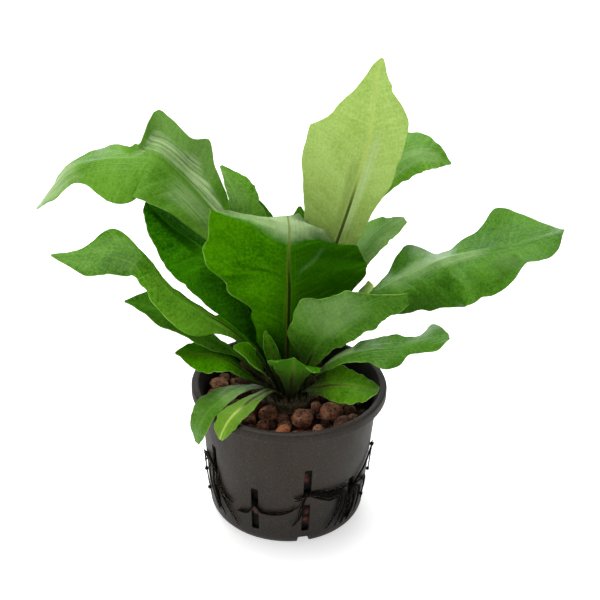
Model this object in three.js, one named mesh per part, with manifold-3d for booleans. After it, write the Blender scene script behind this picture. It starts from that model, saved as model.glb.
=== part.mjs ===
// Potted bird's nest fern: a rosette of waved fronds on a scaly crown, in a slotted
// culture pot filled with baked clay pellets, with roots grown out through the slots.
// Millimetres, +Z up. The origin is the centre of the pot's underside.
import * as THREE from "three";
import { mergeVertices } from "three/addons/utils/BufferGeometryUtils.js";
import Module from "manifold-3d";

const wasm = await Module();
wasm.setup();

// Driving dimensions of the pot
const POT_HEIGHT = 113;
const LIP_OUTER_RADIUS = 75;
const LIP_SKIRT = 7;
const MOUTH_RADIUS = 70;
const WALL_TOP_RADIUS = 68.4;
const WALL_FOOT_RADIUS = 61;
const WALL_THICKNESS = 1.6;
const FOOT_FILLET = 12;
const POT_SIDES = 40;

// Slots in the pot's wall, in columns that are spaced evenly from the front one on.
// The levels are the lower and upper heights of the slots in every other column.
const SLOT_WIDTH = 6;
const SLOT_COLUMNS = 10;
const FRONT_AZIMUTH = 284.5;
const SLOT_LEVELS = [
  [[16, 42], [49, 75]],
  [[15, 33], [36, 54]],
];
const SLOT_DEPTH = 16;

// Drain notch in the foot, under the front column of slots
const NOTCH_WIDTH = 10.5;
const NOTCH_HEIGHT = 10;
const NOTCH_INNER_RADIUS = 44;

// Bed of clay pellets. Those in front are placed one by one, as azimuth, distance from
// the axis, height and radius; the others lie in rings, as distance and count.
const BED_TOP = 99;
const CORE_TOP = 95;
const BED_GAP = 0.4;
const PELLET_SPOTS = [
  [165, 57, 97, 8],
  [236, 27, 96, 8],
  [243, 41, 94, 6],
  [266, 46, 96, 6.5],
  [291, 30, 97, 9.5],
  [326, 25, 99, 4.5],
  [329, 38, 98, 9.5],
  [300, 46, 94, 5],
  [333, 55, 95, 5],
  [29, 57, 96, 7.5],
];
const PELLET_RINGS = [[59, 17], [44, 13], [29, 9]];
const PELLET_RADII = [6, 7.5, 9, 10.5];
const PELLET_SPACING = 0.85;

// Crown that the fronds grow from
const CROWN_RADIUS = 15;
const CROWN_TOP = 108;
const CROWN_BOTTOM = 62;
const CROWN_DROP = 0.022;
const DISH_CLEARANCE = 2.4;
const SCALE_COUNT = 16;

// Fronds
const BLADE_THICKNESS = 0.8;
const STALK_HALF_WIDTH = 1.7;
const STALK_THICKNESS = 2.8;
const MIDRIB_TIP_THICKNESS = 1;
const MIDRIB_HALF_WIDTH = 2.2;
const STALK_EDGE_THICKNESS = 1.4;
const STALK_SINK = 7;
const STALK_LEAN_IN = 0.93;
const FOLD_REACH = 0.5;
const FRAME_STEPS = 120;

// Colours
const COLOURS = {
  pot: 0x4e4a44,
  pellets: 0x6e4132,
  crown: 0x2d3228,
  root: 0x2b211a,
  young: 0xa7c857,
  light: 0x6ea546,
  middle: 0x4b8c3c,
  deep: 0x35700f,
  dark: 0x23550a,
};

// Each frond's spine is given by hand in millimetres from the crown outwards, and the
// rest left and right of it as seen looking outwards from the crown: half widths, lifts
// in degrees above the flat, and folds in degrees that the outer part turns further.
// These stand at the spine's stations, or also at the halves or quarters between them.
const FRONDS = [
  {
    name: "frond_01_long_left", colour: "light", base: [165, 4], heading: 155, steps: 30, strips: 6,
    path: [[-8, 9, 128], [-22, 18, 168], [-42, 30, 207], [-67, 42, 237], [-91, 50, 258],
      [-108, 54, 270], [-126, 57, 269], [-146, 60, 266], [-168, 61, 259], [-184, 60, 243], [-198, 58, 225]],
    left: [4, 6, 8, 11, 14, 18, 23, 27, 31, 33, 31, 33, 37, 36, 32, 21, 15, 14, 17, 12, 1],
    leftLift: [0, 0, -10, -20, -30, -36, -38, -38, -30, -20, -10],
    right: [4, 4.5, 5, 5.5, 6, 7, 8, 10, 12, 14, 17, 20, 24, 28, 33, 40, 46, 40, 37, 38, 41, 42, 12, 11,
      11, 14, 17, 20, 21, 19, 16, 13, 11, 11, 10, 9, 8, 7, 5, 3, 1],
    rightLift: [0, 5, 5, 8, 12, 14, 10, 10, 0, 0, 0],
    rightFold: [0, 0, 5, 30, 52, 58, 20, 0, 0, 0, 0],
    waves: [2, 4.5, 0.4],
  },
  {
    name: "frond_02_upright_back_left", colour: "middle", base: [130, 9], heading: 120, steps: 12, strips: 4,
    path: [[-6, 17, 125], [-14, 34, 168], [-29, 47, 211], [-40, 52, 235], [-46, 54, 249], [-56, 55, 266]],
    left: [3, 6, 9, 9, 7, 1],
    leftLift: [0, 0, 0, 0, 0, 0],
    right: [3, 8, 14, 14, 13, 1],
    rightLift: [0, 0, 5, 10, 10, 0],
    waves: [1.5, 2.5, 0],
  },
  {
    name: "frond_03_upright_back", colour: "middle", base: [100, 9], heading: 105, steps: 12, strips: 4,
    path: [[-2, 22, 125], [-6, 46, 160], [-16, 66, 200], [-24, 73, 220], [-30, 76, 231]],
    left: [4, 10, 12, 8, 1],
    leftLift: [0, 5, 5, 5, 0],
    right: [4, 10, 9, 5, 1],
    rightLift: [0, 5, 5, 5, 0],
    waves: [1, 2.5, 1],
  },
  {
    name: "frond_04_tallest_young", colour: "young", base: [75, 4], heading: 75, steps: 20, strips: 6,
    path: [[6, 13, 130], [14, 24, 158], [24, 34, 186], [35, 44, 217], [42, 50, 239], [49, 56, 265],
      [55, 62, 290], [56, 65, 313], [57, 67, 332], [61, 68, 348]],
    left: [4, 7, 10, 15, 20, 25, 30, 35, 39, 44, 47, 47, 46, 33, 24, 14, 9, 5, 1],
    leftLift: [0, 0, 0, 0, 0, 0, 0, 0, 0, 0],
    right: [4, 7, 9, 11, 13, 14, 15, 16, 19, 24, 27, 28, 29, 28, 25, 16, 12, 6, 1],
    rightLift: [0, 5, 10, 10, 10, 10, 10, 10, 5, 0],
    waves: [1.5, 3, 0],
  },
  {
    name: "frond_05_back_right", colour: "light", base: [35, 9], heading: 45, steps: 14, strips: 6,
    path: [[10, 15, 128], [18, 27, 155], [31, 42, 187], [53, 61, 235], [72, 71, 259], [91, 75, 271],
      [108, 76, 270], [119, 76, 265]],
    left: [4, 6, 9, 11, 14, 18, 22, 26, 27, 26, 26, 22, 13, 4, 1],
    leftLift: [0, 0, 0, 0, 0, 5, 5, 0],
    right: [4, 6, 7, 9, 14, 16, 12, 1],
    rightLift: [0, 0, 0, -10, -10, -10, -10, 0],
    waves: [2, 3, 2],
  },
  {
    name: "frond_06_low_back_right", colour: "light", base: [22, 13.5], heading: 35, steps: 12, strips: 4,
    path: [[18, 19, 126], [31, 32, 160], [49, 46, 192], [65, 55, 210], [76, 58, 218], [86, 60, 224]],
    left: [4, 10, 18, 23, 13, 4],
    leftLift: [0, 0, 0, 0, 0, 0],
    right: [4, 7, 8, 11, 8, 3],
    rightLift: [0, 0, -20, -15, -10, 0],
    waves: [1.5, 2.5, 1],
  },
  {
    name: "frond_07_long_right", colour: "middle", base: [355, 4], heading: 8, steps: 26, strips: 6,
    path: [[11, 4, 130], [23, 8, 149], [41, 12, 166], [63, 18, 182], [82, 23, 192], [98, 26, 199],
      [115, 29, 207], [134, 32, 211], [159, 33, 216], [181, 33, 223], [202, 32, 232]],
    left: [3, 3, 4, 4, 4, 4, 5, 12, 22, 29, 35, 30, 23, 15, 18, 27, 39, 38, 26, 12, 1],
    leftLift: [0, 0, 5, 15, 15, 10, -5, 10, 32, 15, 0],
    right: [3, 4, 5, 6, 8, 13, 19, 26, 31, 33, 33, 39, 45, 46, 40, 39, 34, 24, 23, 18, 1],
    rightLift: [0, 0, -10, -25, -40, -38, -38, -32, -28, -20, 0],
    rightFold: [0, 0, 0, -20, -45, -30, 0, 0, 0, 0, 0],
    waves: [3, 5.5, 1],
  },
  {
    name: "frond_08_broad_centre", colour: "deep", base: [268, 4], heading: 90, steps: 26, strips: 6,
    path: [[-1, -4, 122], [-2, -3, 142], [-2, -1, 168], [-2, 2, 190], [-3, 8, 207], [-3, 16, 219],
      [-3, 29, 225], [-4, 40, 228], [-5, 47, 230]],
    left: [6, 11, 18, 23, 27, 30, 45, 47, 61, 64, 60, 61, 63, 57, 46, 34, 18],
    leftLift: [5, 10, 12, 15, 12, 10, 22, 15, 5],
    right: [6, 10, 17, 22, 28, 35, 46, 57, 58, 56, 52, 47, 40, 28, 24, 14, 8],
    rightLift: [5, 10, 10, 8, 0, 0, -20, -15, 0],
    waves: [3, 7, 5.7],
  },
  {
    name: "frond_09_dark_left", colour: "dark", base: [162, 9], heading: 155, steps: 16, strips: 6,
    path: [[-15, 6, 124], [-25, 9, 151], [-40, 13, 182], [-58, 19, 206], [-76, 24, 218], [-91, 28, 227],
      [-102, 32, 236], [-110, 36, 243]],
    left: [4, 14, 27, 34, 33, 26, 17, 2],
    leftLift: [0, -5, -20, -25, -15, -5, 0, 0],
    right: [4, 9, 14, 17, 18, 17, 12, 1],
    rightLift: [0, 0, -5, -10, -10, -10, 0, 0],
    waves: [1.5, 3.5, 1],
  },
  {
    name: "frond_10_short_inner", colour: "deep", base: [243, 9], heading: 95, steps: 8, strips: 4,
    path: [[-8, -9, 122], [-11, -10, 135], [-15, -10, 148], [-19, -9, 161]],
    left: [3, 5, 5, 1],
    leftLift: [5, 10, 10, 0],
    right: [3, 5, 5, 1],
    rightLift: [5, 10, 10, 0],
    waves: [0.5, 2, 0],
  },
  {
    name: "frond_11_twisted_left", colour: "middle", base: [194, 9], heading: 188, steps: 26, strips: 6,
    path: [[-21, -5, 132], [-34, -8, 150], [-48, -11, 165], [-63, -14, 176], [-79, -17, 187],
      [-90, -20, 199],
      [-98, -22, 213], [-109, -24, 227], [-127, -26, 232], [-147, -28, 229], [-169, -30, 228]],
    left: [3, 3, 4, 6, 8, 13, 18, 20, 18, 17, 15, 13, 13, 13, 16, 20, 22, 23, 20, 11, 1],
    leftLift: [0, -10, -30, -40, -40, -45, -60, -40, -25, -20, 0],
    right: [3, 3, 4, 5, 6, 8, 10, 11, 12, 11, 10, 8, 6, 6, 8, 16, 23, 19, 12, 6, 1],
    rightLift: [0, 0, 0, 0, 0, 0, 20, 25, 12, 0, 0],
    waves: [1.2, 3.5, 0],
  },
  {
    name: "frond_12_under_left", colour: "middle", base: [176, 13.5], heading: 192, steps: 12, strips: 4,
    path: [[-26, -1, 120], [-41, -4, 138], [-58, -8, 152], [-77, -11, 165], [-97, -14, 179],
      [-121, -18, 187]],
    left: [3, 6, 10, 14, 14, 1],
    leftLift: [0, -10, -20, -20, -20, 0],
    right: [3, 6, 9, 12, 18, 1],
    rightLift: [0, 0, 0, 5, 30, 10],
    waves: [1.5, 3, 0],
  },
  {
    name: "frond_13_low_left", colour: "deep", base: [195, 13.5], heading: 198, steps: 12, strips: 4,
    path: [[-23, -11, 117], [-33, -16, 128], [-44, -20, 139], [-59, -23, 147], [-72, -25, 150],
      [-84, -27, 150]],
    left: [3, 6, 10, 17, 14, 1],
    leftLift: [0, -10, -15, -20, -20, 0],
    right: [3, 6, 13, 18, 13, 1],
    rightLift: [0, 0, 5, 5, 5, 0],
    waves: [1, 2, 0],
  },
  {
    name: "frond_14_drooping_front_left", colour: "light", base: [233, 13.5], heading: 218, steps: 12,
    strips: 4,
    path: [[-20, -19, 118], [-34, -32, 124], [-47, -44, 123], [-58, -52, 116], [-64, -57, 105],
      [-66, -58, 93]],
    left: [3, 4, 6, 7, 7, 3],
    leftLift: [0, -5, -10, -10, -5, 0],
    right: [3, 6, 12, 15, 11, 2],
    rightLift: [0, 0, 5, 0, 0, 0],
    waves: [1, 2, 1],
  },
  {
    name: "frond_15_drooping_front", colour: "young", base: [251, 13.5], heading: 234, steps: 12, strips: 4,
    path: [[-12, -22, 117], [-22, -37, 122], [-32, -50, 121], [-41, -61, 117], [-46, -67, 110],
      [-48, -69, 104]],
    left: [3, 5, 8, 8, 6, 2],
    leftLift: [0, -5, -10, -10, -5, 0],
    right: [3, 4, 7, 10, 8, 2],
    rightLift: [0, 0, 5, 5, 5, 0],
    waves: [1, 2, 2],
  },
  {
    name: "frond_16_round_front_right", colour: "deep", base: [312, 13.5], heading: 332, steps: 12, strips: 6,
    path: [[13, -14, 114], [22, -19, 119], [33, -23, 124], [46, -28, 127], [57, -31, 127], [66, -34, 127]],
    left: [4, 11, 17, 13, 9, 4],
    leftLift: [0, 25, 30, 30, 15, 0],
    right: [4, 8, 13, 16, 13, 3],
    rightLift: [0, -10, -20, -25, -20, 0],
    waves: [1.5, 2.5, 0],
  },
  {
    name: "frond_17_low_right", colour: "middle", base: [336, 13.5], heading: 350, steps: 14, strips: 6,
    path: [[16, -8, 118], [25, -12, 131], [40, -15, 144], [59, -17, 152], [78, -18, 155], [96, -18, 160],
      [117, -17, 165]],
    left: [2, 3, 4, 5, 7, 11, 15, 16, 16, 11, 12, 22, 5],
    leftLift: [0, 0, 5, 5, 5, 5, 0],
    right: [3, 4, 5, 6, 7, 10, 14, 20, 16, 8, 9, 11, 3],
    rightLift: [0, 0, -10, -20, -20, -20, 0],
    waves: [1.5, 3, 0],
  },
  {
    name: "frond_18_cupped_right", colour: "middle", base: [300, 9], heading: 70, steps: 18, strips: 6,
    path: [[10, -12, 125], [14, -14, 138], [19, -17, 152], [26, -20, 166], [36, -25, 180], [50, -30, 193],
      [65, -34, 203], [82, -37, 208]],
    left: [3, 5, 8, 17, 24, 25, 29, 29, 23, 18, 16, 9, 4, 2, 2],
    leftLift: [0, 0, 0, 0, 0, 0, 0, 0],
    right: [3, 5, 6, 8, 10, 12, 14, 16, 17, 17, 18, 15, 13, 12, 6],
    rightLift: [0, 0, 0, 0, 0, 0, 0, 0],
    waves: [1.5, 3, 0],
  },
  {
    name: "frond_19_short_front", colour: "deep", base: [270, 13.5], heading: 270, steps: 9, strips: 6,
    path: [[2, -20, 117], [2, -24, 128], [3, -29, 140], [3, -33, 149], [3, -37, 155]],
    left: [5, 10, 17, 20, 13],
    leftLift: [5, 12, 5, -18, -38],
    right: [5, 10, 15, 19, 13],
    rightLift: [5, 12, 10, 0, -18],
    waves: [0.5, 2, 0],
  },
  {
    name: "frond_20_short_left", colour: "deep", base: [214, 13.5], heading: 210, steps: 9, strips: 4,
    path: [[-14, -12, 118], [-20, -17, 130], [-28, -22, 142], [-34, -25, 151], [-41, -28, 156]],
    left: [3, 5, 6, 5, 1],
    leftLift: [0, 5, -10, -10, 0],
    right: [3, 6, 9, 8, 3],
    rightLift: [0, 20, 50, 60, 30],
    waves: [0.5, 2, 0],
  },
  {
    name: "frond_21_curled_young", colour: "young", base: [338, 9], heading: 12, steps: 10, strips: 4,
    path: [[14, -3, 122], [26, -3, 140], [40, -4, 161], [51, 0, 181], [60, 3, 196]],
    left: [2, 4, 7, 9, 6],
    leftLift: [0, 5, 10, 20, 20],
    right: [2, 4, 7, 9, 6],
    rightLift: [0, 5, 10, 20, 20],
    waves: [0.5, 2, 0],
  },
  {
    name: "frond_22_narrow_back", colour: "middle", base: [68, 9], heading: 88, steps: 12, strips: 4,
    path: [[7, 25, 123], [7, 52, 158], [5, 76, 197], [4, 90, 220]],
    left: [4, 12, 14, 1],
    leftLift: [0, 5, 5, 0],
    right: [4, 12, 14, 1],
    rightLift: [0, 5, 5, 0],
    waves: [1, 2.5, 0],
  },
  {
    name: "frond_23_low_back_right", colour: "deep", base: [52, 13.5], heading: 60, steps: 12, strips: 4,
    path: [[15, 23, 114], [29, 46, 127], [41, 66, 133], [51, 84, 133], [58, 98, 126]],
    left: [4, 12, 16, 14, 1],
    leftLift: [0, 5, 5, 0, 0],
    right: [4, 12, 16, 14, 1],
    rightLift: [0, 5, 5, 0, 0],
    waves: [1.5, 3, 0],
  },
  {
    name: "frond_24_low_back", colour: "middle", base: [88, 13.5], heading: 92, steps: 12, strips: 4,
    path: [[-1, 26, 114], [-3, 48, 124], [-5, 72, 129], [-7, 92, 128], [-9, 108, 120]],
    left: [4, 12, 17, 15, 1],
    leftLift: [0, 5, 5, 0, 0],
    right: [4, 12, 17, 15, 1],
    rightLift: [0, 5, 5, 0, 0],
    waves: [1.5, 3, 1],
  },
  {
    name: "frond_25_low_back_left", colour: "deep", base: [124, 13.5], heading: 126, steps: 12, strips: 4,
    path: [[-16, 23, 114], [-31, 42, 125], [-46, 60, 130], [-58, 76, 127], [-66, 90, 117]],
    left: [4, 12, 15, 13, 1],
    leftLift: [0, 5, 5, 0, 0],
    right: [4, 12, 15, 13, 1],
    rightLift: [0, 5, 5, 0, 0],
    waves: [1.5, 3, 2],
  },
];

function radians(degrees) {
  return (degrees * Math.PI) / 180;
}

function onCircle(azimuth, radius, height) {
  const angle = radians(azimuth);
  return new THREE.Vector3(Math.cos(angle) * radius, Math.sin(angle) * radius, height);
}

// A seeded draw between 0 and 1, so that every build is the same
function seededDraw(seed) {
  let state = seed;
  return () => {
    state = (state * 1664525 + 1013904223) % 4294967296;
    return state / 4294967296;
  };
}

// Catmull-Rom value at t in 0..1 through evenly spaced knots, numbers or vectors
function splineAt(knots, t) {
  const spans = knots.length - 1;
  const place = Math.min(Math.max(t, 0), 1) * spans;
  const span = Math.min(Math.floor(place), spans - 1);
  const s = place - span;
  const pick = (k) => knots[Math.min(Math.max(k, 0), spans)];
  const weights = [
    -0.5 * s + s * s - 0.5 * s * s * s,
    1 - 2.5 * s * s + 1.5 * s * s * s,
    0.5 * s + 2 * s * s - 1.5 * s * s * s,
    -0.5 * s * s + 0.5 * s * s * s,
  ];
  const values = [pick(span - 1), pick(span), pick(span + 1), pick(span + 2)];
  if (typeof values[0] === "number") {
    return values.reduce((sum, value, k) => sum + value * weights[k], 0);
  }
  const point = new THREE.Vector3();
  values.forEach((value, k) => point.addScaledVector(value, weights[k]));
  return point;
}

function crownHeight(radius) {
  return CROWN_TOP - CROWN_DROP * radius * radius;
}

// Spine of a frond: it starts in the crown, leaves it at its place in the rosette
// and then follows the stations
function spineKnots(frond) {
  const [azimuth, radius] = frond.base;
  const top = crownHeight(radius);
  const inside = onCircle(azimuth, radius * STALK_LEAN_IN, top - STALK_SINK);
  const outside = onCircle(azimuth, radius, top + 1);
  return [inside, outside, ...frond.path.map((p) => new THREE.Vector3(...p))];
}

// Positions on a frond's middle surface: t runs along it, v from -1, the right
// margin, to 1, the left one
function frondSurface(frond) {
  const knots = spineKnots(frond);
  const spread = (values, inCrown) => {
    const perStation = Math.round((values.length - 1) / (frond.path.length - 1));
    return [...Array(2 * perStation).fill(inCrown), ...values];
  };
  const flat = frond.path.map(() => 0);
  const widths = { left: spread(frond.left, STALK_HALF_WIDTH), right: spread(frond.right, STALK_HALF_WIDTH) };
  const lifts = { left: spread(frond.leftLift, 0), right: spread(frond.rightLift, 0) };
  const folds = { left: spread(frond.leftFold ?? flat, 0), right: spread(frond.rightFold ?? flat, 0) };
  const heading = radians(frond.heading);
  let side = new THREE.Vector3(-Math.sin(heading), Math.cos(heading), 0);
  const sides = [];
  for (let k = 0; k <= FRAME_STEPS; k += 1) {
    const t = k / FRAME_STEPS;
    const tangent = splineAt(knots, t + 0.002).sub(splineAt(knots, t - 0.002)).normalize();
    side = side.clone().addScaledVector(tangent, -side.dot(tangent)).normalize();
    sides.push({ side, up: tangent.clone().cross(side) });
  }
  const [amplitude, count, phase] = frond.waves;
  return (t, v) => {
    const place = Math.min(Math.max(t, 0), 1) * FRAME_STEPS;
    const step = Math.min(Math.floor(place), FRAME_STEPS - 1);
    const near = sides[step];
    const next = sides[step + 1];
    const mix = place - step;
    const across = near.side.clone().lerp(next.side, mix).normalize();
    const up = near.up.clone().lerp(next.up, mix).normalize();
    const hand = v >= 0 ? "left" : "right";
    const sign = v >= 0 ? 1 : -1;
    const reach = Math.abs(v);
    const width = Math.max(splineAt(widths[hand], t), 0.5);
    const angle = radians(splineAt(lifts[hand], t)) * (0.6 + 0.4 * reach);
    const folded = angle + radians(splineAt(folds[hand], t));
    const outer = Math.max(reach - FOLD_REACH, 0);
    const inner = reach - outer;
    const swing = Math.sin(2 * Math.PI * count * t + phase + (sign > 0 ? 0 : 2));
    const fullness = Math.min(width / 14, 1);
    const ripple = amplitude * fullness * swing * reach ** 1.6;
    const outward = width * (inner * Math.cos(angle) + outer * Math.cos(folded)) - ripple * Math.sin(angle);
    const raised = width * (inner * Math.sin(angle) + outer * Math.sin(folded)) + ripple * Math.cos(angle);
    return splineAt(knots, t)
      .addScaledVector(across, sign * outward)
      .addScaledVector(up, raised);
  };
}

function thicknessAt(t, v, ribShare) {
  const middle = THREE.MathUtils.lerp(STALK_THICKNESS, MIDRIB_TIP_THICKNESS, Math.min(t * 1.6, 1));
  const stalkEdge = THREE.MathUtils.lerp(STALK_EDGE_THICKNESS, BLADE_THICKNESS, Math.min(t * 4, 1));
  const share = Math.min(Math.abs(v) / ribShare, 1);
  return THREE.MathUtils.lerp(middle, stalkEdge, share);
}

// Closed mesh from a grid of rows that each hold the same count of points
function skinBetween(upper, lower) {
  const rows = upper.length;
  const columns = upper[0].length;
  const positions = [];
  [...upper, ...lower].flat().forEach((p) => positions.push(p.x, p.y, p.z));
  const top = (i, j) => i * columns + j;
  const bottom = (i, j) => rows * columns + i * columns + j;
  const index = [];
  const quad = (a, b, c, d) => index.push(a, b, c, a, c, d);
  for (let i = 0; i < rows - 1; i += 1) {
    for (let j = 0; j < columns - 1; j += 1) {
      quad(top(i, j), top(i + 1, j), top(i + 1, j + 1), top(i, j + 1));
      index.push(bottom(i, j), bottom(i + 1, j + 1), bottom(i + 1, j));
      index.push(bottom(i, j), bottom(i, j + 1), bottom(i + 1, j + 1));
    }
    quad(top(i, 0), bottom(i, 0), bottom(i + 1, 0), top(i + 1, 0));
    const last = columns - 1;
    quad(top(i, last), top(i + 1, last), bottom(i + 1, last), bottom(i, last));
  }
  for (let j = 0; j < columns - 1; j += 1) {
    quad(top(0, j), top(0, j + 1), bottom(0, j + 1), bottom(0, j));
    const end = rows - 1;
    quad(top(end, j), bottom(end, j), bottom(end, j + 1), top(end, j + 1));
  }
  const geometry = new THREE.BufferGeometry();
  geometry.setAttribute("position", new THREE.Float32BufferAttribute(positions, 3));
  geometry.setIndex(index);
  return geometry;
}

function frondGeometry(frond) {
  const surface = frondSurface(frond);
  const upper = [];
  const lower = [];
  const nudge = 0.01;
  for (let i = 0; i <= frond.steps; i += 1) {
    const t = i / frond.steps;
    const halfSpan = surface(t, 1).distanceTo(surface(t, -1)) / 2;
    const ribShare = Math.min(0.5, MIDRIB_HALF_WIDTH / halfSpan);
    const middle = (1 + ribShare) / 2;
    const half = frond.strips === 6 ? [ribShare, middle, 1] : [ribShare, 1];
    const stops = [...half.map((v) => -v).reverse(), 0, ...half];
    const upperRow = [];
    const lowerRow = [];
    stops.forEach((v) => {
      const along = surface(Math.min(t + nudge, 1), v).sub(surface(Math.max(t - nudge, 0), v));
      const across = surface(t, Math.min(v + 0.1, 1)).sub(surface(t, Math.max(v - 0.1, -1)));
      const normal = along.cross(across).normalize();
      const offset = thicknessAt(t, v, ribShare) / 2;
      const centre = surface(t, v);
      upperRow.push(centre.clone().addScaledVector(normal, offset));
      lowerRow.push(centre.clone().addScaledVector(normal, -offset));
    });
    upper.push(upperRow);
    lower.push(lowerRow);
  }
  return skinBetween(upper, lower);
}

// Solid for joins and cuts, from a closed geometry
function toSolid(geometry) {
  const bare = geometry.clone();
  bare.deleteAttribute("normal");
  bare.deleteAttribute("uv");
  const merged = mergeVertices(bare, 1e-4);
  return new wasm.Manifold(new wasm.Mesh({
    numProp: 3,
    vertProperties: new Float32Array(merged.getAttribute("position").array),
    triVerts: new Uint32Array(merged.getIndex().array),
  }));
}

function toGeometry(solid) {
  const mesh = solid.getMesh();
  const geometry = new THREE.BufferGeometry();
  geometry.setAttribute("position", new THREE.Float32BufferAttribute(mesh.vertProperties, 3));
  geometry.setIndex(new THREE.Uint32BufferAttribute(mesh.triVerts, 1));
  return geometry;
}

function joined(solids) {
  return solids.reduce((sum, solid) => sum.add(solid));
}

// Turned solid about the Z axis, from radius and height pairs
function turned(profile, sides) {
  const points = profile.map(([radius, height]) => new THREE.Vector2(radius, height));
  return new THREE.LatheGeometry(points, sides).rotateX(Math.PI / 2);
}

function placed(geometry, position, azimuth = 0) {
  return geometry.rotateZ(radians(azimuth)).translate(position.x, position.y, position.z);
}

// Outer radius of the pot's wall at a height
function wallRadius(height) {
  const share = (height - FOOT_FILLET) / (POT_HEIGHT - LIP_SKIRT - FOOT_FILLET);
  return WALL_FOOT_RADIUS + (WALL_TOP_RADIUS - WALL_FOOT_RADIUS) * Math.max(share, 0);
}

// Round foot of the pot from its flat underside up to its wall
function footArc(radius, fillet, floor) {
  return [0, 30, 60, 90].map((angle) => [
    radius - fillet + fillet * Math.sin(radians(angle)),
    floor + fillet * (1 - Math.cos(radians(angle))),
  ]);
}

// Box across the notch in the foot, grown by a wall, that stands up from a height
function notchBox(wall, from) {
  const depth = LIP_OUTER_RADIUS - NOTCH_INNER_RADIUS + wall;
  const rise = NOTCH_HEIGHT + wall - from;
  const box = new THREE.BoxGeometry(depth, NOTCH_WIDTH + 2 * wall, rise);
  const centre = onCircle(FRONT_AZIMUTH, LIP_OUTER_RADIUS - depth / 2, from + rise / 2);
  return toSolid(placed(box, centre, FRONT_AZIMUTH));
}

function potGeometry() {
  const inside = WALL_FOOT_RADIUS - WALL_THICKNESS;
  const skirtFoot = POT_HEIGHT - LIP_SKIRT;
  const outer = [
    [0, 0],
    ...footArc(WALL_FOOT_RADIUS, FOOT_FILLET, 0),
    [WALL_TOP_RADIUS, skirtFoot + 2],
    [LIP_OUTER_RADIUS - WALL_THICKNESS, skirtFoot + 2],
    [LIP_OUTER_RADIUS - WALL_THICKNESS, skirtFoot],
    [LIP_OUTER_RADIUS, skirtFoot],
    [LIP_OUTER_RADIUS, POT_HEIGHT - 1],
    [LIP_OUTER_RADIUS - 1, POT_HEIGHT],
  ];
  const inner = [
    [MOUTH_RADIUS, POT_HEIGHT],
    [MOUTH_RADIUS - 1, POT_HEIGHT - 2],
    [WALL_TOP_RADIUS - WALL_THICKNESS, POT_HEIGHT - 5],
    ...footArc(inside, FOOT_FILLET - WALL_THICKNESS, WALL_THICKNESS).reverse(),
    [0, WALL_THICKNESS],
  ];
  const cuts = [notchBox(0, -1)];
  for (let column = 0; column < SLOT_COLUMNS; column += 1) {
    const azimuth = FRONT_AZIMUTH + (360 * column) / SLOT_COLUMNS;
    SLOT_LEVELS[column % 2].forEach(([low, high]) => {
      const cutter = new THREE.BoxGeometry(SLOT_DEPTH, SLOT_WIDTH, high - low);
      cuts.push(toSolid(placed(cutter, onCircle(azimuth, wallRadius(low) - 1, (low + high) / 2), azimuth)));
    });
  }
  const whole = toSolid(turned([...outer, [0, POT_HEIGHT]], POT_SIDES));
  const shell = toSolid(turned([...outer, ...inner], POT_SIDES));
  const withCover = shell.add(notchBox(WALL_THICKNESS, WALL_THICKNESS / 2).intersect(whole));
  return toGeometry(cuts.reduce((solid, cut) => solid.subtract(cut), withCover));
}

// Bed of pellets: a core that fills the pot, with pellets standing out of its top
// and into the light at the slots
function pelletGeometry(cuts) {
  const draw = seededDraw(7);
  const inner = WALL_FOOT_RADIUS - WALL_THICKNESS - BED_GAP;
  const floor = WALL_THICKNESS + BED_GAP;
  const fillet = FOOT_FILLET - WALL_THICKNESS;
  const topRadius = wallRadius(CORE_TOP) - WALL_THICKNESS - BED_GAP - 0.6;
  const core = turned([
    [0, floor],
    ...footArc(inner, fillet, floor),
    [topRadius, CORE_TOP],
    [0, CORE_TOP],
  ], 24);
  const spots = PELLET_SPOTS.map(([azimuth, distance, height, size]) => [
    onCircle(azimuth, distance, height),
    size,
  ]);
  PELLET_RINGS.forEach(([radius, count]) => {
    for (let k = 0; k < count; k += 1) {
      const size = PELLET_RADII[Math.floor(draw() * PELLET_RADII.length)];
      const distance = Math.min(radius + (draw() - 0.5) * 6, topRadius - size * 1.05);
      const azimuth = ((k + draw() * 0.5) / count) * 360;
      const place = onCircle(azimuth, distance, BED_TOP - 2 - size * 0.35 + draw() * 3);
      if (spots.every(([other, reach]) => place.distanceTo(other) > PELLET_SPACING * (size + reach))) {
        spots.push([place, size]);
      }
    }
  });
  const solids = [toSolid(core)];
  spots.forEach(([place, size]) => {
    const pellet = new THREE.IcosahedronGeometry(size, 0)
      .scale(1, 0.85 + draw() * 0.2, 0.85 + draw() * 0.2)
      .rotateX(draw() * 3).rotateY(draw() * 3);
    solids.push(toSolid(placed(pellet, place)));
  });
  return toGeometry(cuts.reduce((solid, cut) => solid.subtract(cut), joined(solids)));
}

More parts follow.
